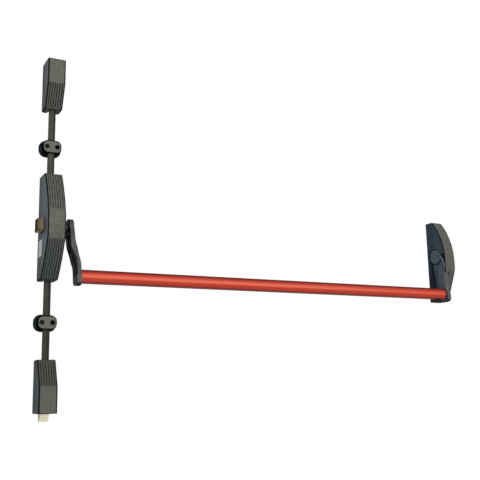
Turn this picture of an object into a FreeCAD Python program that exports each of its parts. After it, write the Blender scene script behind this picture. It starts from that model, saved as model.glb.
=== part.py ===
import FreeCAD, Part
import Sketcher
import math
import os

# Push bar exit device with a centre case, two vertical rods with end bolts and a far end case.
# Millimetres. X runs along the bar, Y points into the door and Z is up.
# The origin lies on the door plane, on the rod line, at the middle of the centre case.

doc = FreeCAD.newDocument("panic_bar")
sheet = doc.addObject("Spreadsheet::Sheet", "Sizes")


class Size:
    """A sheet value, or an expression made of sheet values, with its number."""

    def __init__(self, value, text):
        self.value = float(value)
        self.text = text

    def __add__(self, other):
        other = as_size(other)
        return Size(self.value + other.value, "(%s + %s)" % (self.text, other.text))

    def __radd__(self, other):
        return as_size(other) + self

    def __sub__(self, other):
        other = as_size(other)
        return Size(self.value - other.value, "(%s - %s)" % (self.text, other.text))

    def __rsub__(self, other):
        return as_size(other) - self

    def __mul__(self, other):
        other = as_size(other)
        return Size(self.value * other.value, "(%s * %s)" % (self.text, other.text))

    def __rmul__(self, other):
        return as_size(other) * self

    def __truediv__(self, other):
        other = as_size(other)
        return Size(self.value / other.value, "(%s / %s)" % (self.text, other.text))

    def __neg__(self):
        return Size(-self.value, "(0 - %s)" % self.text)


def as_size(value):
    return value if isinstance(value, Size) else Size(value, "%r" % float(value))


def sine(angle):
    return Size(math.sin(math.radians(angle.value)), "sin(%s * 1 deg)" % angle.text)


def cosine(angle):
    return Size(math.cos(math.radians(angle.value)), "cos(%s * 1 deg)" % angle.text)


def root(size):
    return Size(math.sqrt(size.value), "sqrt(%s)" % size.text)


next_row = [1]


def dimension(name, value, note):
    """One driving size: a plain number in the sheet, with its alias."""
    row = next_row[0]
    next_row[0] += 1
    sheet.set("A%d" % row, note)
    sheet.set("B%d" % row, "%g" % value)
    sheet.setAlias("B%d" % row, name)
    return Size(value, "Sizes." + name)


# Overall places
pivot_depth = dimension("pivot_depth", 29.0, "push bar axis, out from the door")
pivot_height = dimension("pivot_height", 0.0, "push bar axis above the case centre")
push_angle = dimension("push_angle", 18.0, "degrees that the bar swings when pushed")
sheet_metal = dimension("sheet_metal", 2.5, "thickness of the steel base plates")
seat_gap = dimension("seat_gap", 0.3, "gap between a cover and the plate inside it")
slide_gap = dimension("slide_gap", 0.4, "gap round a sliding piece")
screw_size = dimension("screw_size", 4.0, "cover screw shank diameter")

# Centre case
case_width = dimension("case_width", 39.6, "centre case width")
case_top = dimension("case_top", 120.0, "centre case top above the centre")
case_bottom = dimension("case_bottom", 120.0, "centre case bottom below the centre")
pad_depth = dimension("pad_depth", 91.0, "depth of the flat front pad")
pad_top = dimension("pad_top", 18.0, "top of the flat front pad")
pad_bottom = dimension("pad_bottom", 33.0, "bottom of the flat front pad, below the centre")
case_top_depth = dimension("case_top_depth", 46.5, "depth at the top end")
case_top_round = dimension("case_top_round", 14.0, "rounding of the top end, seen from the side")
case_bottom_depth = dimension("case_bottom_depth", 33.0, "depth at the bottom end")
upper_bow = dimension("upper_bow", 5.0, "how far the upper slope bows out")
lower_bow = dimension("lower_bow", 4.0, "how far the lower slope bows out")
cover_wall = dimension("cover_wall", 2.8, "wall of the moulded covers")
edge_round = dimension("edge_round", 2.6, "rounding of the long front edges")
corner_round = dimension("corner_round", 4.0, "rounding of the end corners, seen from the front")
case_screw_inset = dimension("case_screw_inset", 25.0, "cover screw, in from the case end")
case_screw_depth = dimension("case_screw_depth", 8.0, "cover screw, out from the door")
groove_width = dimension("groove_width", 2.2, "width of a grip groove")
groove_depth = dimension("groove_depth", 1.6, "depth of a grip groove")
groove_pitch = dimension("groove_pitch", 5.5, "spacing of the grip grooves")
groove_count = 6

# Vertical rods, their bolts and end cases
rod_diameter = dimension("rod_diameter", 16.0, "vertical rod diameter")
rod_depth = dimension("rod_depth", 17.5, "rod axis, out from the door")
end_width = dimension("end_width", 40.6, "end case width")
end_length = dimension("end_length", 114.0, "end case length")
end_pad_length = dimension("end_pad_length", 57.0, "flat front pad length of an end case")
end_pad_depth = dimension("end_pad_depth", 54.0, "end case depth at its flat pad")
end_rod_depth = dimension("end_rod_depth", 29.5, "end case depth where the rod enters")
end_screw_inset = dimension("end_screw_inset", 46.0, "end cover screw, in from the outer end")
end_screw_depth = dimension("end_screw_depth", 7.0, "end cover screw, out from the door")
top_case_end = dimension("top_case_end", 389.0, "outer end of the top case")
bottom_case_end = dimension("bottom_case_end", 406.0, "outer end of the bottom case, below")
bolt_width = dimension("bolt_width", 20.0, "end bolt width")
bolt_thickness = dimension("bolt_thickness", 16.0, "end bolt thickness")
top_throw = dimension("top_throw", 14.0, "how far the top bolt stands out")
bottom_throw = dimension("bottom_throw", 17.5, "how far the bottom bolt stands out")
bolt_tip = dimension("bolt_tip", 4.0, "bolt thickness left at the tip of its bevel")
bolt_body = dimension("bolt_body", 44.0, "bolt length inside the end case")
collar_rim = dimension("collar_rim", 1.7, "collar on the bolt beyond the spring")
collar_height = dimension("collar_height", 4.0, "collar length")
spring_wire = dimension("spring_wire", 1.6, "bolt spring wire diameter")
spring_play = dimension("spring_play", 1.2, "gap between the rod and its spring")
spring_length = dimension("spring_length", 36.0, "bolt spring length at rest")
spring_seat = dimension("spring_seat", 0.15, "gap between a spring's end and its seat")
spring_turns = 6

# Rod guides
guide_up = dimension("guide_up", 187.0, "upper rod guide above the centre")
guide_down = dimension("guide_down", 212.0, "lower rod guide below the centre")
guide_base_width = dimension("guide_base_width", 50.0, "guide foot width")
guide_base_height = dimension("guide_base_height", 38.0, "guide foot height")
guide_base_depth = dimension("guide_base_depth", 5.0, "guide foot thickness")
guide_width = dimension("guide_width", 43.0, "guide body width")
guide_height = dimension("guide_height", 31.0, "guide body height")
guide_depth = dimension("guide_depth", 28.0, "guide body depth")
guide_screw_web = dimension("guide_screw_web", 1.2, "gap between a guide screw and the rod")
guide_screw_size = dimension("guide_screw_size", 4.8, "guide screw shank diameter")
guide_head = dimension("guide_head", 8.4, "guide screw head diameter")
guide_head_sink = dimension("guide_head_sink", 4.8, "depth of the screw head pocket")
guide_round = dimension("guide_round", 2.5, "rounding of the guide's front edge")

# Push bar and arms
arm_start = dimension("arm_start", 38.5, "near arm's hub face, from the rod line")
arm_thickness = dimension("arm_thickness", 10.5, "arm thickness")
arm_offset = dimension("arm_offset", 11.0, "sideways offset between hub and bar end")
arm_hub_radius = dimension("arm_hub_radius", 21.0, "radius of the arm's hub end")
arm_recess = dimension("arm_recess", 5.0, "depth of the hollow on the arm's outer side")
bar_length = dimension("bar_length", 1043.0, "visible bar between the arms")
bar_out = dimension("bar_out", 61.0, "bar axis, out from the door")
bar_drop = dimension("bar_drop", 112.0, "bar axis below the pivot")
bar_height = dimension("bar_height", 29.5, "bar section height")
bar_depth = dimension("bar_depth", 32.0, "bar section depth")
bar_wall = dimension("bar_wall", 2.0, "bar tube wall")
bar_front_round = dimension("bar_front_round", 13.5, "large rounding on the bar's upper edge")
bar_small_round = dimension("bar_small_round", 4.0, "rounding on the bar's lower edges")
bar_line_width = dimension("bar_line_width", 2.2, "width of the line along the bar's front")
bar_line_depth = dimension("bar_line_depth", 1.0, "depth of the line along the bar's front")
bar_line_drop = dimension("bar_line_drop", 8.0, "line below the bar's axis")
ledge_length = dimension("ledge_length", 22.0, "far arm's ledge under the bar end")
ledge_gap = dimension("ledge_gap", 0.3, "gap between the ledge and the bar")
foot_drop = dimension("foot_drop", 6.5, "arm's foot below the bar")
foot_round = dimension("foot_round", 14.0, "rounding of the arm's foot towards the door")
spigot_length = dimension("spigot_length", 22.0, "arm spigot inside the bar")
spigot_gap = dimension("spigot_gap", 0.4, "gap between the spigot and the tube")
bar_screw_size = dimension("bar_screw_size", 5.0, "bar screw hole diameter")
bar_screw_length = dimension("bar_screw_length", 9.0, "bar screw length")
grub_size = dimension("grub_size", 5.0, "arm set screw hole diameter")
grub_length = dimension("grub_length", 10.0, "arm set screw length")

# Lock work in the centre case
spindle_diameter = dimension("spindle_diameter", 12.0, "push bar spindle")
spindle_collar = dimension("spindle_collar", 20.0, "spindle collar beside the case")
spindle_square = dimension("spindle_square", 9.0, "square end of the spindle in the arm")
running_gap = dimension("running_gap", 0.05, "radial clearance of a turning fit")
bush_wall = dimension("bush_wall", 1.8, "wall of the spindle bush")
lever_length = dimension("lever_length", 45.0, "drive lever, pivot to pin")
drive_pin = dimension("drive_pin", 5.0, "drive pin diameter")
pin_gap = dimension("pin_gap", 0.3, "gap round a pin in its slot")
lever_plane = dimension("lever_plane", 4.4, "inner face of the levers, from the rod line")
lever_thickness = dimension("lever_thickness", 3.6, "lever thickness")
slider_plane = dimension("slider_plane", 8.6, "inner face of the slide plates")
slider_thickness = dimension("slider_thickness", 3.0, "slide plate thickness")
rocker_depth = dimension("rocker_depth", 34.0, "reversing lever pivot, out from the door")
rocker_drop = dimension("rocker_drop", 60.0, "reversing lever pivot below the centre")
rocker_front_arm = dimension("rocker_front_arm", 13.6, "reversing lever arm to the upper slide plate")
rocker_back_arm = dimension("rocker_back_arm", 17.0, "reversing lever arm to the lower slide plate")
upper_rod_end = dimension("upper_rod_end", 86.0, "inner end of the upper rod above the centre")
lower_rod_end = dimension("lower_rod_end", 92.0, "inner end of the lower rod below the centre")
block_height = dimension("block_height", 12.0, "rod block on a slide plate")
latch_width = dimension("latch_width", 29.0, "side latch height along the case")
latch_middle = dimension("latch_middle", 0.3, "side latch centre below the case centre")
latch_front = dimension("latch_front", 56.0, "side latch front, out from the door")
latch_back = dimension("latch_back", 25.0, "side latch back, out from the door")
latch_throw = dimension("latch_throw", 13.0, "how far the side latch stands out")
latch_bevel = dimension("latch_bevel", 8.0, "bevel depth at the latch nose")
latch_tail_back = dimension("latch_tail_back", 38.5, "back of the latch tail")
latch_tail = dimension("latch_tail", 10.6, "latch tail length inside the case side")
latch_pin_size = dimension("latch_pin_size", 5.0, "latch pin diameter")
latch_pin_inset = dimension("latch_pin_inset", 8.4, "latch pin, in from the case side")
guide_pin_size = dimension("guide_pin_size", 3.2, "latch guide pin diameter")
guide_pin_depth = dimension("guide_pin_depth", 44.0, "latch guide pin, out from the door")
guide_pin_drop = dimension("guide_pin_drop", 11.5, "latch guide pin below the latch centre")
latch_spring_wire = dimension("latch_spring_wire", 0.8, "latch spring wire diameter")
latch_spring_coil = dimension("latch_spring_coil", 5.2, "latch spring mean coil diameter")
latch_spring_turns = 7

# Far end case
far_width = dimension("far_width", 37.0, "far case width")
far_top = dimension("far_top", 101.0, "far case top above the centre")
far_bottom = dimension("far_bottom", 130.0, "far case bottom below the centre")
far_end_depth = dimension("far_end_depth", 25.0, "far case depth at its top")
far_front = dimension("far_front", 70.8, "far case greatest depth")
far_front_high = dimension("far_front_high", 20.0, "upright front begins, below the pivot")
far_front_low = dimension("far_front_low", 30.0, "upright front ends, below the pivot")
far_bend = dimension("far_bend", 60.0, "radius of the bend below the upright front")
far_slope = dimension("far_slope", 21.8, "degrees that the lower slope leans to the door")
far_recess = dimension("far_recess", 4.5, "far arm hub, set in from the case side")
far_edge_round = dimension("far_edge_round", 2.0, "rounding of the far case's front edges")
arm_pocket_gap = dimension("arm_pocket_gap", 1.5, "gap between the far arm and its pocket")
far_screw_up = dimension("far_screw_up", 31.3, "upper far cover screw above the pivot")
far_screw_down = dimension("far_screw_down", 55.5, "lower far cover screw below the pivot")
far_screw_depth = dimension("far_screw_depth", 21.0, "upper far cover screw, out from the door")
far_low_screw_depth = dimension("far_low_screw_depth", 9.5, "lower far cover screw, out from the door")

doc.recompute()

# Derived places
pivot_y = -pivot_depth
pivot_z = pivot_height
rod_y = -rod_depth
half_push = push_angle / 2
rod_travel = 2 * lever_length * sine(half_push)
rocker_angle_value = math.degrees(math.asin(rod_travel.value / 2 / rocker_front_arm.value))
rocker_angle = Size(rocker_angle_value, "(asin(%s / 2 / %s) / 1 deg)" % (rod_travel.text, rocker_front_arm.text))
lower_travel = rod_travel * rocker_back_arm / rocker_front_arm
latch_pin_x = latch_pin_inset - case_width / 2
bar_y = -bar_out
bar_z = pivot_z - bar_drop
bar_start = arm_start + arm_thickness + arm_offset
bar_end = bar_start + bar_length
far_arm_face = bar_end + arm_offset
far_side = far_arm_face - far_recess
far_floor = far_arm_face + arm_thickness + 1
guide_pin_z = -latch_middle - guide_pin_drop
spring_coil = rod_diameter + spring_wire + 2 * spring_play
collar_diameter = spring_coil + spring_wire + 2 * collar_rim
guide_screw_spacing = rod_diameter + guide_screw_size + 2 * guide_screw_web
screw_hole = screw_size / 2 + 0.2
case_levels = (case_top - case_screw_inset, case_screw_inset - case_bottom)
foot_level = bar_z - bar_height / 2 - foot_drop


def bind(item, setting, size):
    item.setExpression(setting, as_size(size).text)


def new_body(label):
    body = doc.addObject("PartDesign::Body", label)
    body.Label = label
    return body


def origin_plane(body, role):
    for feature in body.Origin.OriginFeatures:
        if feature.Role == role:
            return feature
    raise ValueError("no origin plane " + role)


class Through:
    """The point that the arc between the corners before and after it passes."""

    def __init__(self, across, up):
        self.across = as_size(across)
        self.up = as_size(up)


def fix_point(sketch, geometry, end, across, up):
    """Hold one end of an edge at a place measured from the sketch origin."""
    for kind, size in (("DistanceX", as_size(across)), ("DistanceY", as_size(up))):
        index = sketch.addConstraint(Sketcher.Constraint(kind, -1, 1, geometry, end, size.value))
        sketch.setExpression("Constraints[%d]" % index, size.text)


def outline(sketch, path):
    """A closed outline of lines, and of arcs where a Through point stands between corners."""
    corners = [point for point in path if not isinstance(point, Through)]
    count = len(corners)
    edges = []
    position = 0
    for number, start in enumerate(corners):
        end = corners[(number + 1) % count]
        position += 1
        middle = path[position] if position < len(path) else None
        first = FreeCAD.Vector(as_size(start[0]).value, as_size(start[1]).value, 0)
        last = FreeCAD.Vector(as_size(end[0]).value, as_size(end[1]).value, 0)
        if isinstance(middle, Through):
            position += 1
            halfway = FreeCAD.Vector(middle.across.value, middle.up.value, 0)
            arc = Part.Arc(first, halfway, last)
            index = sketch.addGeometry(arc, False)
            begins = sketch.getPoint(index, 1).distanceToPoint(first) < 1e-6
            mark = sketch.addGeometry(Part.Point(halfway), True)
            fix_point(sketch, mark, 1, middle.across, middle.up)
            sketch.addConstraint(Sketcher.Constraint("PointOnObject", mark, 1, index))
            edges.append((index, 1 if begins else 2, 2 if begins else 1))
        else:
            index = sketch.addGeometry(Part.LineSegment(first, last), False)
            edges.append((index, 1, 2))
    for number, (index, head, tail) in enumerate(edges):
        following = edges[(number + 1) % count]
        sketch.addConstraint(Sketcher.Constraint("Coincident", index, tail, following[0], following[1]))
        fix_point(sketch, index, head, corners[number][0], corners[number][1])


def new_sketch(body, name, role, offset):
    sketch = body.newObject("Sketcher::SketchObject", name)
    sketch.AttachmentSupport = [(origin_plane(body, role), "")]
    sketch.MapMode = "FlatFace"
    bind(sketch, "AttachmentOffset.Base.z", offset)
    return sketch


def circle(sketch, across, up, radius):
    across, up, radius = as_size(across), as_size(up), as_size(radius)
    centre = FreeCAD.Vector(across.value, up.value, 0)
    index = sketch.addGeometry(Part.Circle(centre, FreeCAD.Vector(0, 0, 1), radius.value), False)
    fix_point(sketch, index, 3, across, up)
    number = sketch.addConstraint(Sketcher.Constraint("Radius", index, radius.value))
    sketch.setExpression("Constraints[%d]" % number, radius.text)


def draw(sketch, shape):
    """Draw an outline path, or a circle given as (across, up, radius)."""
    if isinstance(shape, tuple):
        circle(sketch, *shape)
    else:
        outline(sketch, shape)


def pad(body, role, shapes, start, length):
    """Material added from start, along the plane's normal, by length."""
    sketch = new_sketch(body, body.Label + "_profile", role, start)
    for shape in shapes:
        draw(sketch, shape)
    feature = body.newObject("PartDesign::Pad", body.Label + "_pad")
    feature.Profile = sketch
    bind(feature, "Length", length)
    doc.recompute()
    return feature


def cut(body, role, shapes, start, length):
    """Material removed from start, along the plane's normal, by length."""
    before = body.Shape.Volume
    sketch = new_sketch(body, body.Label + "_cut_profile", role, start)
    for shape in shapes:
        draw(sketch, shape)
    feature = body.newObject("PartDesign::Pocket", body.Label + "_cut")
    feature.Profile = sketch
    feature.Reversed = True
    bind(feature, "Length", length)
    doc.recompute()
    if body.Shape.Volume > before - 1e-6:
        raise ValueError("nothing cut from " + body.Label)
    return feature


def repeat(body, feature, pitch, count):
    """Copy a cut along X."""
    pattern = body.newObject("PartDesign::LinearPattern", body.Label + "_pattern")
    pattern.Originals = [feature]
    pattern.Direction = (feature.Profile[0], ["N_Axis"])
    bind(pattern, "Length", pitch * (count - 1))
    pattern.Occurrences = count
    body.Tip = pattern
    doc.recompute()
    return pattern


def round_edges(body, chosen, radius):
    """Fillet the edges of the body that the chosen test accepts."""
    shape = body.Shape
    names = ["Edge%d" % (number + 1) for number, edge in enumerate(shape.Edges) if chosen(edge)]
    if not names:
        raise ValueError("no edges to round on " + body.Label)
    base = body.Tip
    fillet = body.newObject("PartDesign::Fillet", body.Label + "_round")
    fillet.Base = (base, names)
    bind(fillet, "Radius", radius)
    doc.recompute()
    return fillet


def rectangle(left, right, low, high):
    return [(left, low), (right, low), (right, high), (left, high)]


CORNER = 1 - math.sqrt(0.5)


def rounded(left, right, low, high, radii):
    """A rectangle with four rounded corners: left low, right low, right high, left high."""
    first, second, third, fourth = radii
    return [
        (left + first, low), (right - second, low),
        Through(right - second * CORNER, low + second * CORNER),
        (right, low + second), (right, high - third),
        Through(right - third * CORNER, high - third * CORNER),
        (right - third, high), (left + fourth, high),
        Through(left + fourth * CORNER, high - fourth * CORNER),
        (left, high - fourth), (left, low + first),
        Through(left + first * CORNER, low + first * CORNER),
    ]


def cylinder(name, radius, length, x, y, z, axis):
    """A plain round bar along X, Y or Z, starting at a place."""
    item = doc.addObject("Part::Cylinder", name)
    bind(item, "Radius", radius)
    bind(item, "Height", length)
    turns = {
        "X": FreeCAD.Rotation(FreeCAD.Vector(0, 1, 0), 90),
        "Y": FreeCAD.Rotation(FreeCAD.Vector(1, 0, 0), -90),
        "Z": FreeCAD.Rotation(),
    }
    item.Placement = FreeCAD.Placement(FreeCAD.Vector(0, 0, 0), turns[axis])
    bind(item, "Placement.Base.x", x)
    bind(item, "Placement.Base.y", y)
    bind(item, "Placement.Base.z", z)
    return item


def box(name, left, right, front, back, low, high):
    item = doc.addObject("Part::Box", name)
    for setting, low_side, high_side in (("Length", left, right), ("Width", front, back), ("Height", low, high)):
        bind(item, setting, as_size(high_side) - as_size(low_side))
    bind(item, "Placement.Base.x", left)
    bind(item, "Placement.Base.y", front)
    bind(item, "Placement.Base.z", low)
    return item


def fuse(label, items):
    item = doc.addObject("Part::MultiFuse", label)
    item.Label = label
    item.Shapes = items
    return item


def subtract(label, base, tools):
    item = doc.addObject("Part::Cut", label)
    item.Label = label
    item.Base = base
    item.Tool = tools[0] if len(tools) == 1 else fuse(label + "_tools", tools)
    return item


def group(label, items):
    item = doc.addObject("Part::Compound", label)
    item.Label = label
    item.Links = items
    return item


parts = []


def finish(item):
    parts.append(item)
    return item


# Centre case

def centre_backplate():
    """Steel plate against the door with bent ears that carry the spindle and guide the latch."""
    body = new_body("centre_backplate")
    half = case_width / 2 - cover_wall - seat_gap
    ends = cover_wall + seat_gap
    hole = 2.75
    columns = 11.5
    rows = 90.0
    holes = [(side * columns, level * rows, hole) for side in (-1, 1) for level in (-1, 1)]
    plate = rectangle(-half, half, ends - case_bottom, case_top - ends)
    pad(body, "XZ_Plane", [plate] + holes, 0, sheet_metal)
    near_ear = [
        (0, -72), (-50, -72), (-50, 16), (0, 16),
    ]
    bush_hole = (pivot_y, pivot_z, spindle_diameter / 2 + bush_wall + running_gap)
    rocker_hole = (-rocker_depth, -rocker_drop, 3.05)
    guide_hole = (-guide_pin_depth, guide_pin_z, guide_pin_size / 2 + running_gap)
    pad(body, "YZ_Plane", [near_ear, bush_hole, rocker_hole, guide_hole], half - sheet_metal, sheet_metal)
    latch_ear = rectangle(-59, 0, -26, 22)
    window = latch_window()
    pad(body, "YZ_Plane", [latch_ear, window], -half, sheet_metal)
    inner_ear = rectangle(-36.5, 0, pivot_z - 9, pivot_z + 9)
    end_hole = (pivot_y, pivot_z, spindle_diameter / 2 - 1 + running_gap)
    pad(body, "YZ_Plane", [inner_ear, end_hole], -2, sheet_metal)
    for level in case_levels:
        lug = rectangle(-case_screw_depth - 6, 0, level - 6, level + 6)
        screw = (-case_screw_depth, level, screw_size / 2 + running_gap)
        pad(body, "YZ_Plane", [lug, screw], half - sheet_metal, sheet_metal)
    return finish(body)


def latch_window():
    low = -latch_middle - latch_width / 2 - slide_gap
    high = -latch_middle + latch_width / 2 + slide_gap
    return rectangle(-latch_front - slide_gap, slide_gap - latch_back, low, high)


def bowed(first, last, bow, share, sink):
    """A place along a slope that bows out between two corners, sunk below its surface."""
    run_y = as_size(last[0]).value - as_size(first[0]).value
    run_z = as_size(last[1]).value - as_size(first[1]).value
    length = math.hypot(run_y, run_z)
    out_y = -abs(run_z) / length
    out_z = math.copysign(run_y / length, run_z)
    lift = as_size(bow) * (4 * share * (1 - share)) - sink
    return (between(first[0], last[0], share) + lift * out_y, between(first[1], last[1], share) + lift * out_z)


def between(first, last, share):
    return as_size(first) + (as_size(last) - as_size(first)) * share


def case_corners(depth_offset, end_offset):
    """Corners of the two slopes in side view: lower end, pad bottom, pad top, upper end."""
    front = depth_offset - pad_depth
    lower_end = (depth_offset - case_bottom_depth, end_offset - case_bottom)
    upper_end = (depth_offset - case_top_depth, case_top - end_offset)
    return lower_end, (front, -pad_bottom), (front, pad_top), upper_end


def top_arc(pad_high, upper_end, share):
    """The rounding of the upper end: a place on the slope, the arc's middle and a place on the top face."""
    slope_end = bowed(pad_high, upper_end, upper_bow, share, 0)
    middle = Through(upper_end[0] + case_top_round * 0.14, upper_end[1] - case_top_round * 0.11)
    return slope_end, middle, (upper_end[0] + case_top_round * 0.5, upper_end[1])


def case_side(depth_offset, end_offset, top_rounded):
    """Side view of the centre case, moved in by a wall."""
    lower_end, pad_low, pad_high, upper_end = case_corners(depth_offset, end_offset)
    lower_middle = Through(*bowed(pad_low, lower_end, lower_bow, 0.5, 0))
    lower = [(0, lower_end[1]), lower_end, lower_middle, pad_low, pad_high]
    if not top_rounded:
        return lower + [Through(*bowed(pad_high, upper_end, upper_bow, 0.5, 0)), upper_end, (0, upper_end[1])]
    upper_middle = Through(*bowed(pad_high, upper_end, upper_bow, TOP_SHARE / 2, 0))
    return lower + [upper_middle] + list(top_arc(pad_high, upper_end, TOP_SHARE)) + [(0, upper_end[1])]


TOP_SHARE = 0.955


def opened(side_view):
    """A side view with its back edge moved past the door plane, so that it cuts an open back."""
    return [(1, side_view[0][1])] + side_view[1:-1] + [(1, side_view[-1][1])]


def slope_groove(first, last, bow, start, stop):
    """Side view of a groove along a slope, from one share of its length to another."""
    above = -1.5
    middle = (start + stop) / 2
    if bow is None:
        shares = ((start, above), (stop, above), (stop, groove_depth), (start, groove_depth))
        return [bowed(first, last, 0, share, sink) for share, sink in shares]
    return [
        bowed(first, last, bow, start, above), Through(*bowed(first, last, bow, middle, above)),
        bowed(first, last, bow, stop, above), bowed(first, last, bow, stop, groove_depth),
        Through(*bowed(first, last, bow, middle, groove_depth)), bowed(first, last, bow, start, groove_depth),
    ]


def grooves(body, profile):
    """Grip grooves side by side, all with one side view."""
    span = groove_pitch * (groove_count - 1)
    feature = cut(body, "YZ_Plane", [profile], -span / 2 - groove_width / 2, groove_width)
    repeat(body, feature, groove_pitch, groove_count)


def corner_cuts(half, level, side):
    """Front view of the two waste corners at one end of a case; side is 1 above and -1 below."""
    shapes = []
    for hand in (-1, 1):
        edge = half * hand
        start = edge - corner_round * hand
        drop = level - corner_round * side
        shapes.append([
            (start, level + side), (start, level),
            Through(edge - corner_round * hand * CORNER, level - corner_round * side * CORNER),
            (edge, drop), (edge + hand, drop), (edge + hand, level + side),
        ])
    return shapes


def centre_cover():
    """Moulded cover with a flat pad, two grooved slopes and an open back."""
    body = new_body("centre_cover")
    half = case_width / 2
    pad(body, "YZ_Plane", [case_side(0, 0, False)], -half, case_width)
    corners = corner_cuts(half, case_top, 1) + corner_cuts(half, -case_bottom, -1)
    cut(body, "XZ_Plane", corners, -1, pad_depth)
    round_edges(body, long_front_edges(-half, half, case_bottom_depth), edge_round)
    lower_end, pad_low, pad_high, upper_end = case_corners(0, 0)
    slope_end, middle, top_start = top_arc(pad_high, upper_end, TOP_SHARE)
    front = slope_end[0] - 2
    waste = [slope_end, middle, top_start, (top_start[0], case_top + 1), (front, case_top + 1), (front, slope_end[1])]
    cut(body, "YZ_Plane", [waste], -half - 1, case_width + 2)
    cavity = opened(case_side(cover_wall, cover_wall, True))
    cut(body, "YZ_Plane", [cavity], cover_wall - half, case_width - 2 * cover_wall)
    notch_radius = rod_diameter / 2 + slide_gap
    notch = [
        (-notch_radius, -1), (notch_radius, -1), (notch_radius, rod_depth),
        Through(0, rod_depth + notch_radius), (-notch_radius, rod_depth),
    ]
    notch = [flip(point) for point in notch]
    cut(body, "XY_Plane", [notch], -case_bottom - 1, case_top + case_bottom + 2)
    hub = spindle_diameter / 2 + bush_wall + seat_gap
    hub_slot = [
        (1, pivot_z - hub), (pivot_y, pivot_z - hub), Through(pivot_y - hub, pivot_z),
        (pivot_y, pivot_z + hub), (1, pivot_z + hub),
    ]
    cut(body, "YZ_Plane", [hub_slot], half - cover_wall - 1, cover_wall + 2)
    cut(body, "YZ_Plane", [latch_window()], -half - 1, cover_wall + 2)
    holes = [(-case_screw_depth, level, screw_hole) for level in case_levels]
    cut(body, "YZ_Plane", holes, half - cover_wall - 1, cover_wall + 2)
    grooves(body, slope_groove(pad_high, upper_end, upper_bow, 0.12, 0.99))
    grooves(body, slope_groove(pad_low, lower_end, lower_bow, 0.05, 0.965))
    return finish(body)


def flip(point):
    """Mirror a plan view point, because depth from the door runs along minus Y."""
    if isinstance(point, Through):
        return Through(point.across, -point.up)
    return (point[0], -as_size(point[1]))


def long_front_edges(left, right, least_depth):
    """Edges on the two side faces of a case that lie in front of its back part."""
    def chosen(edge):
        ends = [vertex.Point for vertex in edge.Vertexes]
        if len(ends) != 2 or abs(ends[0].x - ends[1].x) > 1e-4:
            return False
        on_side = min(abs(ends[0].x - left.value), abs(ends[0].x - right.value)) < 1e-4
        in_front = all(point.y < 0.01 - least_depth.value for point in ends)
        return on_side and in_front
    return chosen


def spindle_bush():
    """Bronze bush in the near ear and the cover wall."""
    half = case_width / 2
    start = half - cover_wall - seat_gap - sheet_metal
    outer = cylinder("bush_outside", spindle_diameter / 2 + bush_wall, half - start, start, pivot_y, pivot_z, "X")
    bore = cylinder("bush_bore", spindle_diameter / 2 + running_gap, half - start + 2, start - 1, pivot_y, pivot_z, "X")
    return finish(subtract("spindle_bush", outer, [bore]))


def side_latch():
    """Bronze latch with a bevelled nose and a thinner tail inside the case."""
    body = new_body("side_latch")
    wall = -case_width / 2
    nose = wall - latch_throw
    head_end = wall + 2.5
    tail_end = wall + latch_tail
    plan = [
        (nose, latch_back), (head_end, latch_back), (head_end, latch_tail_back), (tail_end, latch_tail_back),
        (tail_end, latch_front), (wall, latch_front), (nose, latch_front - latch_bevel),
    ]
    plan = [flip(point) for point in plan]
    pad(body, "XY_Plane", [plan], -latch_middle - latch_width / 2, latch_width)
    bore = (-guide_pin_depth, guide_pin_z, guide_pin_size / 2 + slide_gap)
    cut(body, "YZ_Plane", [bore], wall - latch_throw + 5, latch_throw + latch_tail)
    return finish(body)


def latch_guide_pin():
    """Fixed pin on which the latch slides and its spring sits."""
    half = case_width / 2 - cover_wall - seat_gap
    left = -case_width / 2 + 6.5
    pin = cylinder("latch_guide_pin", guide_pin_size / 2, half - left, left, -guide_pin_depth, guide_pin_z, "X")
    return finish(renamed(pin, "latch_guide_pin"))


def renamed(item, label):
    item.Label = label
    return item


def latch_pin():
    """Pin on the latch tail that the slide plate's wedge pushes."""
    front = -latch_front - 9
    pin = cylinder("latch_pin", latch_pin_size / 2, 9, latch_pin_x, front, -latch_middle, "Y")
    return finish(renamed(pin, "latch_pin"))


def coil(name, mean_radius, wire_size, length, turns):
    """A spring along Z from zero: a ruled loft through wire sections set square to the helix."""
    sections_per_turn = 10
    sides = 6
    rise = length / (2 * math.pi * turns)
    rings = []
    for station in range(sections_per_turn * turns + 1):
        angle = 2 * math.pi * station / sections_per_turn
        outward = FreeCAD.Vector(math.cos(angle), math.sin(angle), 0)
        along = FreeCAD.Vector(-mean_radius * math.sin(angle), mean_radius * math.cos(angle), rise).normalize()
        middle = outward * mean_radius + FreeCAD.Vector(0, 0, rise * angle)
        across = along.cross(outward)
        corners = []
        for side in range(sides):
            turn_angle = 2 * math.pi * side / sides
            corners.append(middle + (outward * math.cos(turn_angle) + across * math.sin(turn_angle)) * wire_size / 2)
        rings.append(Part.makePolygon(corners + corners[:1]))
    item = doc.addObject("Part::Feature", name)
    item.Shape = Part.makeLoft(rings, True, True)
    return item


def latch_spring():
    """Compression spring on the guide pin, between the latch tail and the near ear."""
    clear = latch_spring_wire.value / 2 + spring_seat.value
    start = latch_tail.value - case_width.value / 2 + clear
    seat = case_width.value / 2 - cover_wall.value - seat_gap.value - sheet_metal.value
    item = coil("latch_spring", latch_spring_coil.value / 2, latch_spring_wire.value, seat - clear - start,
                latch_spring_turns)
    place = FreeCAD.Vector(start, -guide_pin_depth.value, guide_pin_z.value)
    item.Placement = FreeCAD.Placement(place, FreeCAD.Rotation(FreeCAD.Vector(0, 1, 0), 90))
    return finish(item)


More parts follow.
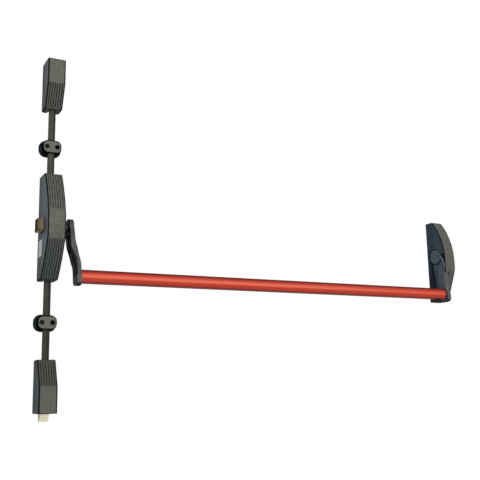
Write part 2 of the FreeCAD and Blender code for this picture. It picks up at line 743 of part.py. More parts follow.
def centre_spindle():
    """Steel spindle with a collar beside the case and a square end in the near arm."""
    half = case_width / 2
    turned_end = cylinder("spindle_end", spindle_diameter / 2 - 1, lever_plane + 3, -3, pivot_y, pivot_z, "X")
    journal = cylinder("spindle_journal", spindle_diameter / 2, half + 1 - lever_plane, lever_plane, pivot_y, pivot_z, "X")
    collar_length = arm_start - half - seat_gap
    collar = cylinder("spindle_collar_ring", spindle_collar / 2, collar_length, half + seat_gap, pivot_y, pivot_z, "X")
    side = spindle_square / 2
    square = box("spindle_square_end", arm_start - 0.1, arm_start + 7, pivot_y - side, pivot_y + side,
                 pivot_z - side, pivot_z + side)
    return finish(fuse("centre_spindle", [turned_end, journal, collar, square]))


def drive_lever():
    """Lever on the spindle; its pin drives the upper slide plate."""
    body = new_body("drive_lever")
    hub = 9.5
    neck = 4.2
    shoulder = 5.0
    reach = -lever_length
    plate = [
        (0, -hub), Through(hub, 0), (0, hub), (-12, shoulder), (reach, neck), Through(reach - neck, 0),
        (reach, -neck), (-12, -shoulder),
    ]
    bore = (0, 0, spindle_diameter / 2 + running_gap)
    pad(body, "YZ_Plane", [plate, bore], lever_plane, lever_thickness)
    pad(body, "YZ_Plane", [(reach, 0, drive_pin / 2)], lever_plane + lever_thickness - 0.5,
        slider_plane + slider_thickness - lever_plane - lever_thickness + 1)
    turn(body, -half_push, pivot_y, pivot_z)
    return finish(body)


def turn(body, angle, y, z):
    """Turn a body about X and set its own origin at a place."""
    body.Placement = FreeCAD.Placement(FreeCAD.Vector(0, 0, 0), FreeCAD.Rotation(FreeCAD.Vector(1, 0, 0), 1))
    body.setExpression("Placement.Rotation.Angle", as_size(angle).text)
    bind(body, "Placement.Base.y", y)
    bind(body, "Placement.Base.z", z)


def slot(middle_y, middle_z, reach, pin):
    """A slot along Y with round ends, for a pin that shifts by reach."""
    radius = pin / 2 + pin_gap
    return [
        (middle_y - reach, middle_z - radius), (middle_y + reach, middle_z - radius),
        Through(middle_y + reach + radius, middle_z), (middle_y + reach, middle_z + radius),
        (middle_y - reach, middle_z + radius), Through(middle_y - reach - radius, middle_z),
    ]


def upper_slider():
    """Slide plate from the upper rod to the drive pin, the latch wedge and the reversing lever."""
    body = new_body("upper_slider")
    block_front = rod_y - rod_diameter / 2
    block_back = rod_y + rod_diameter / 2
    plate_front = -lever_length - pivot_depth - drive_pin / 2 - 2
    tail_front = -rocker_depth - rocker_front_arm - drive_pin / 2 - 2.5
    tail_back = tail_front + 13.2
    tail_end = rod_travel / 2 - rocker_drop - 5.5
    side = [
        (block_back, upper_rod_end), (block_front, upper_rod_end), (-60, 44), (plate_front, 22), (plate_front, -8),
        (tail_front, -44), (tail_front, tail_end), (tail_back, tail_end), (tail_back, -43), (-62, -12),
        (-62, 30), (-24, upper_rod_end - block_height - 4), (block_back, upper_rod_end - block_height - 4),
    ]
    drive_y = pivot_y - lever_length * (1 + cosine(half_push)) / 2
    drive_shift = lever_length * (1 - cosine(half_push)) / 2
    drive_z = pivot_z + lever_length * sine(half_push)
    rocker_y = -rocker_depth - rocker_front_arm * (1 + cosine(rocker_angle)) / 2
    rocker_shift = rocker_front_arm * (1 - cosine(rocker_angle)) / 2
    rocker_z = -rocker_drop + rod_travel / 2
    openings = [
        slot(drive_y, drive_z, drive_shift + 0.3, drive_pin),
        slot(rocker_y, rocker_z, rocker_shift + 0.3, drive_pin),
    ]
    pad(body, "YZ_Plane", [side] + openings, slider_plane, slider_thickness)
    block_left = -rod_diameter / 2
    pad(body, "YZ_Plane", [rectangle(block_front, block_back, upper_rod_end - block_height, upper_rod_end)],
        block_left, slider_plane - block_left + 0.5)
    slope = math.atan2(rod_travel.value, latch_throw.value)
    rise = rod_travel / latch_throw
    lift = latch_pin_size / 2 + pin_gap
    edge_x = latch_pin_x - lift * math.sin(slope)
    edge_z = lift * math.cos(slope) - latch_middle
    left = 4 - case_width / 2
    shelf = 22 - latch_middle
    wedge = [
        (left, edge_z - (edge_x - left) * rise), (edge_x + (shelf - edge_z) / rise, shelf),
        (slider_plane + 0.5, shelf), (slider_plane + 0.5, shelf + 11), (left, shelf + 11),
    ]
    pad(body, "XZ_Plane", [wedge], latch_front + 6, 3)
    return finish(body)


def lower_slider():
    """Slide plate from the lower rod to the reversing lever."""
    body = new_body("lower_slider")
    block_front = rod_y - rod_diameter / 2
    block_back = rod_y + rod_diameter / 2
    pin_y = -rocker_depth + rocker_back_arm * (1 + cosine(rocker_angle)) / 2
    pin_shift = rocker_back_arm * (1 - cosine(rocker_angle)) / 2
    pin_z = -rocker_drop - lower_travel / 2
    side = rectangle(block_front - 1, block_back, -lower_rod_end, pin_z + 6)
    pad(body, "YZ_Plane", [side, slot(pin_y, pin_z, pin_shift + 0.3, drive_pin)], slider_plane, slider_thickness)
    block_left = -rod_diameter / 2
    pad(body, "YZ_Plane", [rectangle(block_front, block_back, -lower_rod_end, block_height - lower_rod_end)],
        block_left, slider_plane - block_left + 0.5)
    return finish(body)


def reversing_lever():
    """Rocker that lifts the lower rod while the upper one comes down."""
    body = new_body("reversing_lever")
    half = 4.4
    front = -rocker_front_arm
    back = rocker_back_arm
    plate = [
        (front, -half), (back, -half), Through(back + half, 0), (back, half), (front, half),
        Through(front - half, 0),
    ]
    pad(body, "YZ_Plane", [plate, (0, 0, 3 + running_gap)], lever_plane, lever_thickness)
    pin_length = slider_plane + slider_thickness - lever_plane - lever_thickness + 1
    for place in (front, back):
        pad(body, "YZ_Plane", [(place, 0, drive_pin / 2)], lever_plane + lever_thickness - 0.5, pin_length)
    turn(body, -rocker_angle, -rocker_depth, -rocker_drop)
    return finish(body)


def rocker_pin():
    """Shouldered pin riveted in the near ear for the reversing lever."""
    half = case_width / 2 - cover_wall - seat_gap
    start = lever_plane - 1.2
    stem = cylinder("rocker_stem", 3, half - start, start, -rocker_depth, -rocker_drop, "X")
    head = cylinder("rocker_head", 4.5, 1, start - 0.2, -rocker_depth, -rocker_drop, "X")
    ring_start = lever_plane + lever_thickness + 0.2
    ring_length = half - sheet_metal - ring_start
    ring = cylinder("rocker_shoulder", 4.2, ring_length, ring_start, -rocker_depth, -rocker_drop, "X")
    return finish(fuse("rocker_pin", [stem, head, ring]))


# Rods and end cases

def rod(label, low, high):
    item = cylinder(label, rod_diameter / 2, high - low, 0, rod_y, low, "Z")
    return finish(renamed(item, label))


def end_side(depth_offset, end_offset):
    """Side view of an end case standing on its rod end, which is at zero."""
    bend = end_length - end_pad_length
    back = 0
    low = as_size(end_offset)
    high = end_length - end_offset
    rod_side = depth_offset - end_rod_depth
    front = depth_offset - end_pad_depth
    return [(back, low), (rod_side, low), (front, bend), (front, high), (back, high)]


def end_levels(up, outer_end):
    """A function that gives the height of a place along an end case, from its rod end."""
    def level(along):
        if up:
            return outer_end - end_length + along
        return end_length - outer_end - as_size(along)
    return level


def raised(points, level):
    """Move side view points, given along the case, to their real height."""
    return [(point[0], level(point[1])) for point in points]


def end_cover(label, up, outer_end):
    """Moulded end cover with a flat pad, a grooved slope and an open back."""
    body = new_body(label)
    level = end_levels(up, outer_end)
    half = end_width / 2
    pad(body, "YZ_Plane", [raised(end_side(0, 0), level)], -half, end_width)
    cut(body, "XZ_Plane", corner_cuts(half, level(0), -1 if up else 1), -1, end_pad_depth)
    round_edges(body, long_front_edges(-half, half, end_rod_depth), edge_round)
    cavity = opened(raised(end_side(cover_wall, cover_wall), level))
    cut(body, "YZ_Plane", [cavity], cover_wall - half, end_width - 2 * cover_wall)
    radius = rod_diameter / 2 + slide_gap
    notch = [
        (-radius, -1), (radius, -1), (radius, rod_depth), Through(0, rod_depth + radius), (-radius, rod_depth),
    ]
    bend = end_length - end_pad_length
    rod_reach = rod_depth + radius + cover_wall - end_rod_depth
    notch_end = cover_wall + 2 + rod_reach * bend / (end_pad_depth - end_rod_depth)
    rod_low = level(-1) if up else level(notch_end)
    cut(body, "XY_Plane", [flipped(notch)], rod_low, notch_end + 1)
    side = bolt_width / 2 + slide_gap
    deep = rod_depth + bolt_thickness / 2 + slide_gap
    window = [flip(point) for point in rectangle(-side, side, -1, deep)]
    bolt_low = level(end_length - cover_wall - 1) if up else level(end_length + 1)
    cut(body, "XY_Plane", [window], bolt_low, cover_wall + 2)
    hole = (-end_screw_depth, level(end_length - end_screw_inset), screw_hole)
    cut(body, "YZ_Plane", [hole], -half - 1, end_width + 2)
    pad_edge = (-end_pad_depth, level(bend))
    rod_edge = (-end_rod_depth, level(0))
    grooves(body, slope_groove(pad_edge, rod_edge, None, 0.03, 0.92))
    return finish(body)


def end_backplate(label, up, outer_end):
    """Steel plate of an end case with the bolt's guide bridge and the spring's seat."""
    body = new_body(label)
    level = end_levels(up, outer_end)
    half = end_width / 2 - cover_wall - seat_gap
    ends = cover_wall + seat_gap
    first, last = (level(ends), level(end_length - ends))
    low, high = (first, last) if up else (last, first)
    holes = [(side * 12.0, level(along), 2.6) for side in (-1, 1) for along in (22.0, end_length - 22)]
    pad(body, "XZ_Plane", [rectangle(-half, half, low, high)] + holes, 0, sheet_metal)
    side = bolt_width / 2 + slide_gap
    front = rod_depth + bolt_thickness / 2 + slide_gap
    bridge = rectangle(-side - 4, side + 4, 0, front + 3.5)
    window = rectangle(-side, side, rod_depth - bolt_thickness / 2 - slide_gap, front)
    bridge_at = end_length - 12
    bridge_low = level(bridge_at) if up else level(bridge_at + 3)
    pad(body, "XY_Plane", [flipped(bridge), flipped(window)], bridge_low, 3)
    seat = rectangle(-14, 14, 0, rod_depth + collar_diameter / 2 + 0.5)
    seat_hole = (0, -rod_depth, rod_diameter / 2 + slide_gap)
    seat_at = end_length - bolt_body - collar_height - spring_length - 3
    seat_low = level(seat_at) if up else level(seat_at + 3)
    pad(body, "XY_Plane", [flipped(seat), seat_hole], seat_low, 3)
    for start in (-half, half - sheet_metal):
        middle = level(end_length - end_screw_inset)
        lug = rectangle(-end_screw_depth - 5, 0, middle - 5, middle + 5)
        screw = (-end_screw_depth, middle, screw_size / 2 + running_gap)
        pad(body, "YZ_Plane", [lug, screw], start, sheet_metal)
    return finish(body)


def flipped(points):
    return [flip(point) for point in points]


def end_bolt(label, up, outer_end, throw):
    """Bolt with a bevelled tip and a round collar for its spring."""
    body = new_body(label)
    level = end_levels(up, outer_end)
    back = rod_y + bolt_thickness / 2
    front = rod_y - bolt_thickness / 2
    foot = end_length - bolt_body
    tip = end_length + throw
    bevel = end_length + throw - bolt_thickness + bolt_tip
    side = [(back, foot), (front, foot), (front, bevel), (back - bolt_tip, tip), (back, tip)]
    pad(body, "YZ_Plane", [raised(side, level)], -bolt_width / 2, bolt_width)
    collar_low = level(foot - collar_height) if up else level(foot)
    pad(body, "XY_Plane", [(0, rod_y, collar_diameter / 2)], collar_low, collar_height)
    return finish(body)


def end_spring(label, up, outer_end):
    """Compression spring round the rod, between the seat and the bolt's collar."""
    level = end_levels(up, outer_end)
    clear = spring_wire.value / 2 + spring_seat.value
    length = spring_length.value - 2 * clear
    item = coil(label, spring_coil.value / 2, spring_wire.value, length, spring_turns)
    along = end_length - bolt_body - collar_height - spring_length + clear
    low = level(along) if up else level(along + length)
    item.Placement = FreeCAD.Placement(FreeCAD.Vector(0, rod_y.value, low.value), FreeCAD.Rotation())
    return finish(item)


def side_screws(label, half, level, sides, y):
    """Countersunk screws through the cover's side into the plate's lugs."""
    items = []
    for side in sides:
        for number, height in enumerate(level):
            inner = half - cover_wall - seat_gap - sheet_metal
            name = "%s_%d_%d" % (label, side + 1, number)
            length = half - inner
            start = inner if side > 0 else -half
            items.append(cylinder(name, screw_size / 2 - 0.05, length, start, y, height, "X"))
    return finish(group(label, items))


# Rod guides

def rod_guide(label, middle):
    """Cast guide with a thin foot, a raised body and a bore for the rod."""
    body = new_body(label)
    foot = rounded(-guide_base_width / 2, guide_base_width / 2, middle - guide_base_height / 2,
                   middle + guide_base_height / 2, [guide_base_height / 2 - 3] * 4)
    pad(body, "XZ_Plane", [foot], 0, guide_base_depth)
    block = rounded(-guide_width / 2, guide_width / 2, middle - guide_height / 2, middle + guide_height / 2,
                    [guide_height / 2 - 3] * 4)
    pad(body, "XZ_Plane", [block], guide_base_depth, guide_depth - guide_base_depth)
    front = -guide_depth.value

    def on_front(edge):
        return all(abs(vertex.Point.y - front) < 1e-4 for vertex in edge.Vertexes)

    round_edges(body, on_front, guide_round)
    bore = (0, rod_y, rod_diameter / 2 + pin_gap)
    cut(body, "XY_Plane", [bore], middle - guide_base_height / 2 - 1, guide_base_height + 2)
    spots = [(side * guide_screw_spacing / 2, middle, guide_screw_size / 2 + 0.2) for side in (-1, 1)]
    cut(body, "XZ_Plane", spots, -1, guide_depth + 2)
    heads = [(side * guide_screw_spacing / 2, middle, guide_head / 2 + 0.3) for side in (-1, 1)]
    cut(body, "XZ_Plane", heads, guide_depth - guide_head_sink, guide_head_sink + 1)
    return finish(body)


def guide_screws(label, middle):
    """Two socket head screws that hold a guide to the door."""
    items = []
    for number, side in enumerate((-1, 1)):
        x = side * guide_screw_spacing / 2
        bottom = guide_depth - guide_head_sink
        shank = cylinder("%s_shank_%d" % (label, number), guide_screw_size / 2, bottom, x, -bottom, middle, "Y")
        head = cylinder("%s_head_%d" % (label, number), guide_head / 2, guide_head_sink - 1.2, x, 1.2 - guide_depth,
                        middle, "Y")
        socket = cylinder("%s_socket_%d" % (label, number), 2.0, 3, x, 1.2 - guide_depth - 1, middle, "Y")
        whole = fuse("%s_solid_%d" % (label, number), [shank, head])
        items.append(subtract("%s_screw_%d" % (label, number), whole, [socket]))
    return finish(group(label, items))


# Push bar and arms

def bar_section(inset):
    left = bar_y - bar_depth / 2 + inset
    right = bar_y + bar_depth / 2 - inset
    low = bar_z - bar_height / 2 + inset
    high = bar_z + bar_height / 2 - inset
    small = bar_small_round - inset
    large = bar_front_round - inset
    return rounded(left, right, low, high, [small, small, bar_small_round + 3 - inset, large])


def push_bar():
    """Extruded tube with a rounded upper front edge and a fine line along its lower front."""
    body = new_body("push_bar")
    section = bar_section(as_size(0))
    inner = bar_section(bar_wall)
    pad(body, "YZ_Plane", [section, inner], bar_start, bar_length)
    line_z = bar_z - bar_line_drop
    front = bar_y - bar_depth / 2
    line = rectangle(front - 1, front + bar_line_depth, line_z - bar_line_width / 2, line_z + bar_line_width / 2)
    cut(body, "YZ_Plane", [line], bar_start - 1, bar_length + 2)
    holes = [(x, bar_y, bar_screw_size / 2) for x in bar_screw_places()]
    cut(body, "XY_Plane", holes, bar_z - bar_height / 2 - 1, bar_wall + 2)
    return finish(body)


def arm_outline():
    """Side view of an arm, from its round hub down to its squarer bar end."""
    hub = arm_hub_radius
    deep = bar_y - bar_depth / 2 - 4.5
    shallow = bar_y + bar_depth / 2 + 1
    foot = foot_level
    return [
        (pivot_y - hub, pivot_z), Through(pivot_y - 30, pivot_z - 20), (pivot_y - 36, pivot_z - 44),
        Through(deep + 9.5, pivot_z - 82), (deep, bar_z - 4), (deep, foot + 9),
        Through(deep + 9 * CORNER, foot + 9 * CORNER), (deep + 9, foot), (shallow - foot_round, foot),
        Through(shallow - foot_round * CORNER, foot + foot_round * CORNER), (shallow, foot + foot_round),
        Through(shallow + 9, pivot_z - 76), (pivot_y + 4, pivot_z - 46), Through(pivot_y + 12.5, pivot_z - 24),
        (pivot_y + hub, pivot_z), Through(pivot_y, pivot_z + hub),
    ]


def arm(label, near, square_depth):
    """Cast arm: a flat hub, an S-shaped offset seen from the front and a socket end for the bar."""
    body = new_body(label)
    side = 1 if near else -1
    hub_face = arm_start if near else far_arm_face + arm_thickness
    far_hub = hub_face + side * arm_thickness
    bar_face = hub_face + side * (arm_thickness + arm_offset)
    bar_back = hub_face + side * arm_offset
    start, length = (hub_face, arm_thickness + arm_offset) if near else (bar_face, arm_thickness + arm_offset)
    pad(body, "YZ_Plane", [arm_outline()], start, length)
    top = pivot_z + arm_hub_radius + 5
    foot = bar_z - bar_height
    upper_bend = pivot_z - 38
    lower_bend = pivot_z - 84
    beyond = 5 * side
    outer = [
        (far_hub, top), (far_hub, upper_bend + 12), Through(far_hub + side * 1.2, upper_bend + 2),
        (far_hub + side * 3.6, upper_bend - 8), (bar_face - side * 3, lower_bend + 14),
        Through(bar_face - side * 0.8, lower_bend + 6), (bar_face, lower_bend - 2), (bar_face + beyond, lower_bend - 2),
        (bar_face + beyond, top),
    ]
    inner = [
        (hub_face - beyond, upper_bend - 1), (hub_face, upper_bend - 1),
        Through(hub_face + side * 1.0, upper_bend - 11), (hub_face + side * 3.2, upper_bend - 20),
        (bar_back - side * 3.4, lower_bend + 3), Through(bar_back - side * 1.0, lower_bend - 6),
        (bar_back, lower_bend - 14), (bar_back, foot), (hub_face - beyond, foot),
    ]
    cut(body, "XZ_Plane", [outer], 0, 120)
    cut(body, "XZ_Plane", [inner], 0, 120)
    spigot = bar_section(bar_wall + spigot_gap)
    spigot_start = bar_face - 0.5 if near else bar_face - spigot_length
    pad(body, "YZ_Plane", [spigot], spigot_start, spigot_length + 0.5)
    side_half = spindle_square / 2 + 0.05
    socket = rectangle(pivot_y - side_half, pivot_y + side_half, pivot_z - side_half, pivot_z + side_half)
    socket_start = hub_face - 1 if near else hub_face - square_depth
    cut(body, "YZ_Plane", [socket], socket_start, square_depth + 1)
    recess_start = hub_face - 1 if near else hub_face - arm_recess
    recess = [
        (pivot_y - 15, pivot_z - 14), Through(pivot_y - 25, pivot_z - 27), (pivot_y - 32.5, pivot_z - 46),
        (pivot_y - 31, pivot_z - 62), (pivot_y - 7, pivot_z - 62), (pivot_y + 0.5, pivot_z - 46),
        Through(pivot_y + 9, pivot_z - 28), (pivot_y + 12, pivot_z - 14), Through(pivot_y - 1.5, pivot_z - 16.5),
    ]
    cut(body, "YZ_Plane", [recess], recess_start, arm_recess + 1)
    if not near:
        pad(body, "YZ_Plane", [(pivot_y, pivot_z, arm_hub_radius - 0.8)], far_hub - far_recess + 1, far_recess - 0.5)
        ledge = rectangle(bar_y - bar_depth / 2 + 2, bar_y + bar_depth / 2 - 3, foot_level,
                          bar_z - bar_height / 2 - ledge_gap)
        pad(body, "YZ_Plane", [ledge], bar_face - ledge_length, ledge_length + 1)
    screw_x = bar_screw_places()[0 if near else 1]
    screw_top = bar_z - bar_height / 2 + bar_screw_length + 1
    cut(body, "XY_Plane", [(screw_x, bar_y, bar_screw_size / 2)], foot_level - 1, screw_top - foot_level + 1)
    grub_y = pivot_y + side_half
    cut(body, "XZ_Plane", [(hub_face + side * arm_thickness / 2, pivot_z, grub_size / 2)], 0, -grub_y)
    return finish(body)


def bar_screw_places():
    return (bar_start + 12, bar_end - 12)


def bar_screws():
    """Screws from below that hold the bar on the arm spigots."""
    items = []
    top = bar_z - bar_height / 2 + bar_screw_length
    for number, (x, low) in enumerate(zip(bar_screw_places(), (bar_z - bar_height / 2, foot_level))):
        items.append(cylinder("bar_screw_%d" % number, bar_screw_size / 2 - running_gap, top - low, x, bar_y, low,
                              "Z"))
    return finish(group("bar_screws", items))


def arm_grub_screws():
    """Set screws from the door side that lock the arm hubs on the square spindles."""
    items = []
    hub_places = (arm_start + arm_thickness / 2, far_arm_face + arm_thickness / 2)
    front = pivot_y + spindle_square / 2
    for number, x in enumerate(hub_places):
        items.append(cylinder("grub_screw_%d" % number, grub_size / 2 - running_gap, grub_length, x, front, pivot_z,
                              "Y"))
    return finish(group("arm_grub_screws", items))


# Far end case

def upright_start(start, end):
    """Middle of the arc that leaves one place upright and ends at another."""
    across = end[0] - start[0]
    up = end[1] - start[1]
    chord = root(across * across + up * up)
    return Through(start[0] + chord * (chord - up) / (2 * across), start[1] + chord / 2)


def far_side_view(depth_offset, end_offset):
    """Side view of the far case: a straight slope, a bend, a short upright front and a long curve."""
    low = end_offset - far_bottom
    front = depth_offset - far_front
    bend_start = pivot_z - far_front_low
    half_slope = far_slope / 2
    bend_middle = Through(front + far_bend * (1 - cosine(half_slope)), bend_start - far_bend * sine(half_slope))
    bend_y = front + far_bend * (1 - cosine(far_slope))
    bend_z = bend_start - far_bend * sine(far_slope)
    foot_y = bend_y + (bend_z - low) * sine(far_slope) / cosine(far_slope)
    front_top = (front, pivot_z - far_front_high)
    upper_end = (depth_offset - far_end_depth, far_top - end_offset)
    return [
        (0, low), (foot_y, low), (bend_y, bend_z), bend_middle, (front, bend_start), front_top,
        upright_start(front_top, upper_end), upper_end, (0, upper_end[1]),
    ]


def far_pocket():
    """Side view of the room for the far arm: close in front of it, open towards the door."""
    gap = arm_pocket_gap
    hub = arm_hub_radius + gap
    below = -far_bottom - 5
    return [
        (pivot_y - hub, pivot_z), Through(pivot_y - 30 - gap, pivot_z - 20), (pivot_y - 36 - gap, pivot_z - 44),
        (pivot_y - 45 - gap, pivot_z - 82), (pivot_y - 60, below), (-2.9, below), (-2.9, 5 - far_bottom),
        (-6.5, pivot_z - 72), (pivot_y + hub, pivot_z), Through(pivot_y, pivot_z + hub),
    ]


def far_screw_places():
    """Depth, height and outer end of the two screws that hold the far cover."""
    return (
        (-far_screw_depth, pivot_z + far_screw_up, far_side),
        (-far_low_screw_depth, pivot_z - far_screw_down, far_floor),
    )


def far_cover():
    """Curved cover with a hollow outer half and a side pocket in which the far arm swings."""
    body = new_body("far_cover")
    right = far_side + far_width
    pad(body, "YZ_Plane", [far_side_view(0, 0)], far_side, far_width)
    round_edges(body, long_front_edges(far_side, right, far_end_depth), far_edge_round)
    cavity = opened(far_side_view(cover_wall, cover_wall))
    cut(body, "YZ_Plane", [cavity], far_floor + 2, right - cover_wall - far_floor - 2)
    cut(body, "YZ_Plane", [far_pocket()], far_side - 1, far_floor - far_side + 1)
    cut(body, "YZ_Plane", [(pivot_y, pivot_z, spindle_diameter / 2 + 1)], far_floor - 1, 4)
    holes = [(depth, height, screw_hole) for depth, height, start in far_screw_places()]
    cut(body, "YZ_Plane", holes, far_side - 1, far_floor + 3 - far_side)
    return finish(body)


def far_cover_screws():
    """Screws through the far cover into the lugs of its plate."""
    items = []
    end = far_floor + 2 + seat_gap + sheet_metal
    for number, (depth, height, start) in enumerate(far_screw_places()):
        name = "far_cover_screw_%d" % number
        items.append(cylinder(name, screw_size / 2, end - start, start, depth, height, "X"))
    return finish(group("far_cover_screws", items))


def far_backplate():
    """Steel plate of the far case with two ears for the spindle and two lugs for the cover screws."""
    body = new_body("far_backplate")
    left = far_floor + 2 + seat_gap
    right = far_side + far_width - cover_wall - seat_gap
    ends = cover_wall + seat_gap
    low = ends - far_bottom
    high = far_top - ends
    middle = (left + right) / 2
    holes = [(middle, level, 2.6) for level in (high - 18, low + 18)]
    pad(body, "XZ_Plane", [rectangle(left, right, low, high)] + holes, 0, sheet_metal)
    for start in (left, right - sheet_metal):
        ear = rectangle(-46, 0, pivot_z - 17, pivot_z + 17)
        bore = (pivot_y, pivot_z, spindle_diameter / 2 + running_gap)
        pad(body, "YZ_Plane", [ear, bore], start, sheet_metal)
    for depth, height, start in far_screw_places():
        lug = rectangle(depth - 6, 0, height - 6, height + 6)
        pad(body, "YZ_Plane", [lug, (depth, height, screw_size / 2 + running_gap)], left, sheet_metal)
    return finish(body)


def far_spindle():
    """Steel spindle with a square end in the far arm."""
    face = far_arm_face + arm_thickness
    right = far_side + far_width - cover_wall - seat_gap
    journal = cylinder("far_journal", spindle_diameter / 2, right - face, face, pivot_y, pivot_z, "X")
    side = spindle_square / 2
    square = box("far_square_end", face - 7, face + 0.1, pivot_y - side, pivot_y + side, pivot_z - side, pivot_z + side)
    return finish(fuse("far_spindle", [journal, square]))


centre_backplate()
centre_cover()
spindle_bush()
side_latch()
latch_pin()
latch_guide_pin()
latch_spring()
centre_spindle()
drive_lever()
upper_slider()
lower_slider()
reversing_lever()
rocker_pin()
rod("upper_rod", upper_rod_end, top_case_end - bolt_body - collar_height)
rod("lower_rod", bolt_body + collar_height - bottom_case_end, -lower_rod_end)
end_cover("top_cover", True, top_case_end)
end_backplate("top_backplate", True, top_case_end)
end_bolt("top_bolt", True, top_case_end, top_throw)
end_spring("top_spring", True, top_case_end)
end_cover("bottom_cover", False, bottom_case_end)
end_backplate("bottom_backplate", False, bottom_case_end)
end_bolt("bottom_bolt", False, bottom_case_end, bottom_throw)
end_spring("bottom_spring", False, bottom_case_end)
side_screws("centre_cover_screws", case_width / 2, case_levels, (1,), -case_screw_depth)
top_level = [end_levels(True, top_case_end)(end_length - end_screw_inset)]
side_screws("top_cover_screws", end_width / 2, top_level, (-1, 1), -end_screw_depth)
bottom_level = [end_levels(False, bottom_case_end)(end_length - end_screw_inset)]
side_screws("bottom_cover_screws", end_width / 2, bottom_level, (-1, 1), -end_screw_depth)
rod_guide("upper_guide", guide_up)
guide_screws("upper_guide_screws", guide_up)
rod_guide("lower_guide", -guide_down)
guide_screws("lower_guide_screws", -guide_down)
push_bar()
arm("left_arm", True, 7.5)
arm("right_arm", False, 7.5)
bar_screws()
arm_grub_screws()
far_cover()
far_cover_screws()
far_backplate()
far_spindle()

doc.recompute()
for item in doc.Objects:
    if "Invalid" in item.State or "Error" in item.State:
        raise RuntimeError("failed: " + item.Label)
for item in parts:
    if item.Shape.isNull() or not item.Shape.isValid():
        raise RuntimeError("bad shape: " + item.Label)
os.makedirs("parts", exist_ok=True)
for item in parts:
    item.Shape.exportStep("parts/%s.step" % item.Label)
print("%d parts written" % len(parts))
print("upper travel %.3f, lower travel %.3f mm, reversing lever %.3f degrees each way"
      % (rod_travel.value, lower_travel.value, rocker_angle.value))
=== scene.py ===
import math

import bmesh
import bpy
from mathutils import Matrix, Vector


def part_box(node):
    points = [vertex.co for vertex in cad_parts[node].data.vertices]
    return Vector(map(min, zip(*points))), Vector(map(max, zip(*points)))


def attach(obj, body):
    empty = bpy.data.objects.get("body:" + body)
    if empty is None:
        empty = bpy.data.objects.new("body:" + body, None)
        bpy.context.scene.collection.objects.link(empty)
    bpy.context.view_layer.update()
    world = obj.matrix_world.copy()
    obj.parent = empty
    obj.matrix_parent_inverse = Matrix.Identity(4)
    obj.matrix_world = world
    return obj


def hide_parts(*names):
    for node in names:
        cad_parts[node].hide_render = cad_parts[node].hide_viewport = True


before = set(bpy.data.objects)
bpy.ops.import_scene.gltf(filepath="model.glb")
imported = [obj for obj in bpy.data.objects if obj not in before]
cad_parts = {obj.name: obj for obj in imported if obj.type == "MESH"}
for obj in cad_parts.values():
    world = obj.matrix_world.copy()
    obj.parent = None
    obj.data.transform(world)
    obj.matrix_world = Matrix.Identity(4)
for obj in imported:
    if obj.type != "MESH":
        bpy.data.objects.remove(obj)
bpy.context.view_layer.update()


# Base plates and lock work. Pressed steel plates screwed to the door, with the levers, slide plates
# and pins that they carry. All of it is zinc plated: the crystals show as faint patches, crossed by
# fine rolling lines.

class Value:
    """A socket of a node tree, for arithmetic in plain expressions."""

    def __init__(self, tree, socket):
        self.tree = tree
        self.socket = socket

    def __add__(self, other):
        return self.tree.math("ADD", self, other)

    def __sub__(self, other):
        return self.tree.math("SUBTRACT", self, other)

    def __rsub__(self, other):
        return self.tree.math("SUBTRACT", other, self)

    def __mul__(self, other):
        return self.tree.math("MULTIPLY", self, other)

    def __pow__(self, other):
        return self.tree.math("POWER", self, other)

    def __abs__(self):
        return self.tree.math("ABSOLUTE", self)

    __radd__ = __add__
    __rmul__ = __mul__

    def clamped(self):
        return self.tree.node("ShaderNodeClamp", {}, {"Value": self})


class Tree:
    """The node tree of a material or of the world."""

    def __init__(self, owner):
        owner.use_nodes = True
        self.nodes = owner.node_tree.nodes
        self.links = owner.node_tree.links

    def node(self, kind, settings, inputs, output=0):
        """Adds a node: its settings first, then the numbers or values of its sockets."""
        made = self.nodes.new(kind)
        for key, setting in settings.items():
            setattr(made, key, setting)
        for key, given in inputs.items():
            self.feed(made.inputs[key], given)
        return Value(self, made.outputs[output])

    def feed(self, socket, given):
        """Links a value to a socket, or sets the socket to a number or a colour."""
        if isinstance(given, Value):
            self.links.new(given.socket, socket)
        else:
            socket.default_value = given

    def math(self, operation, first, second=0.0):
        return self.node("ShaderNodeMath", {"operation": operation}, {0: first, 1: second})


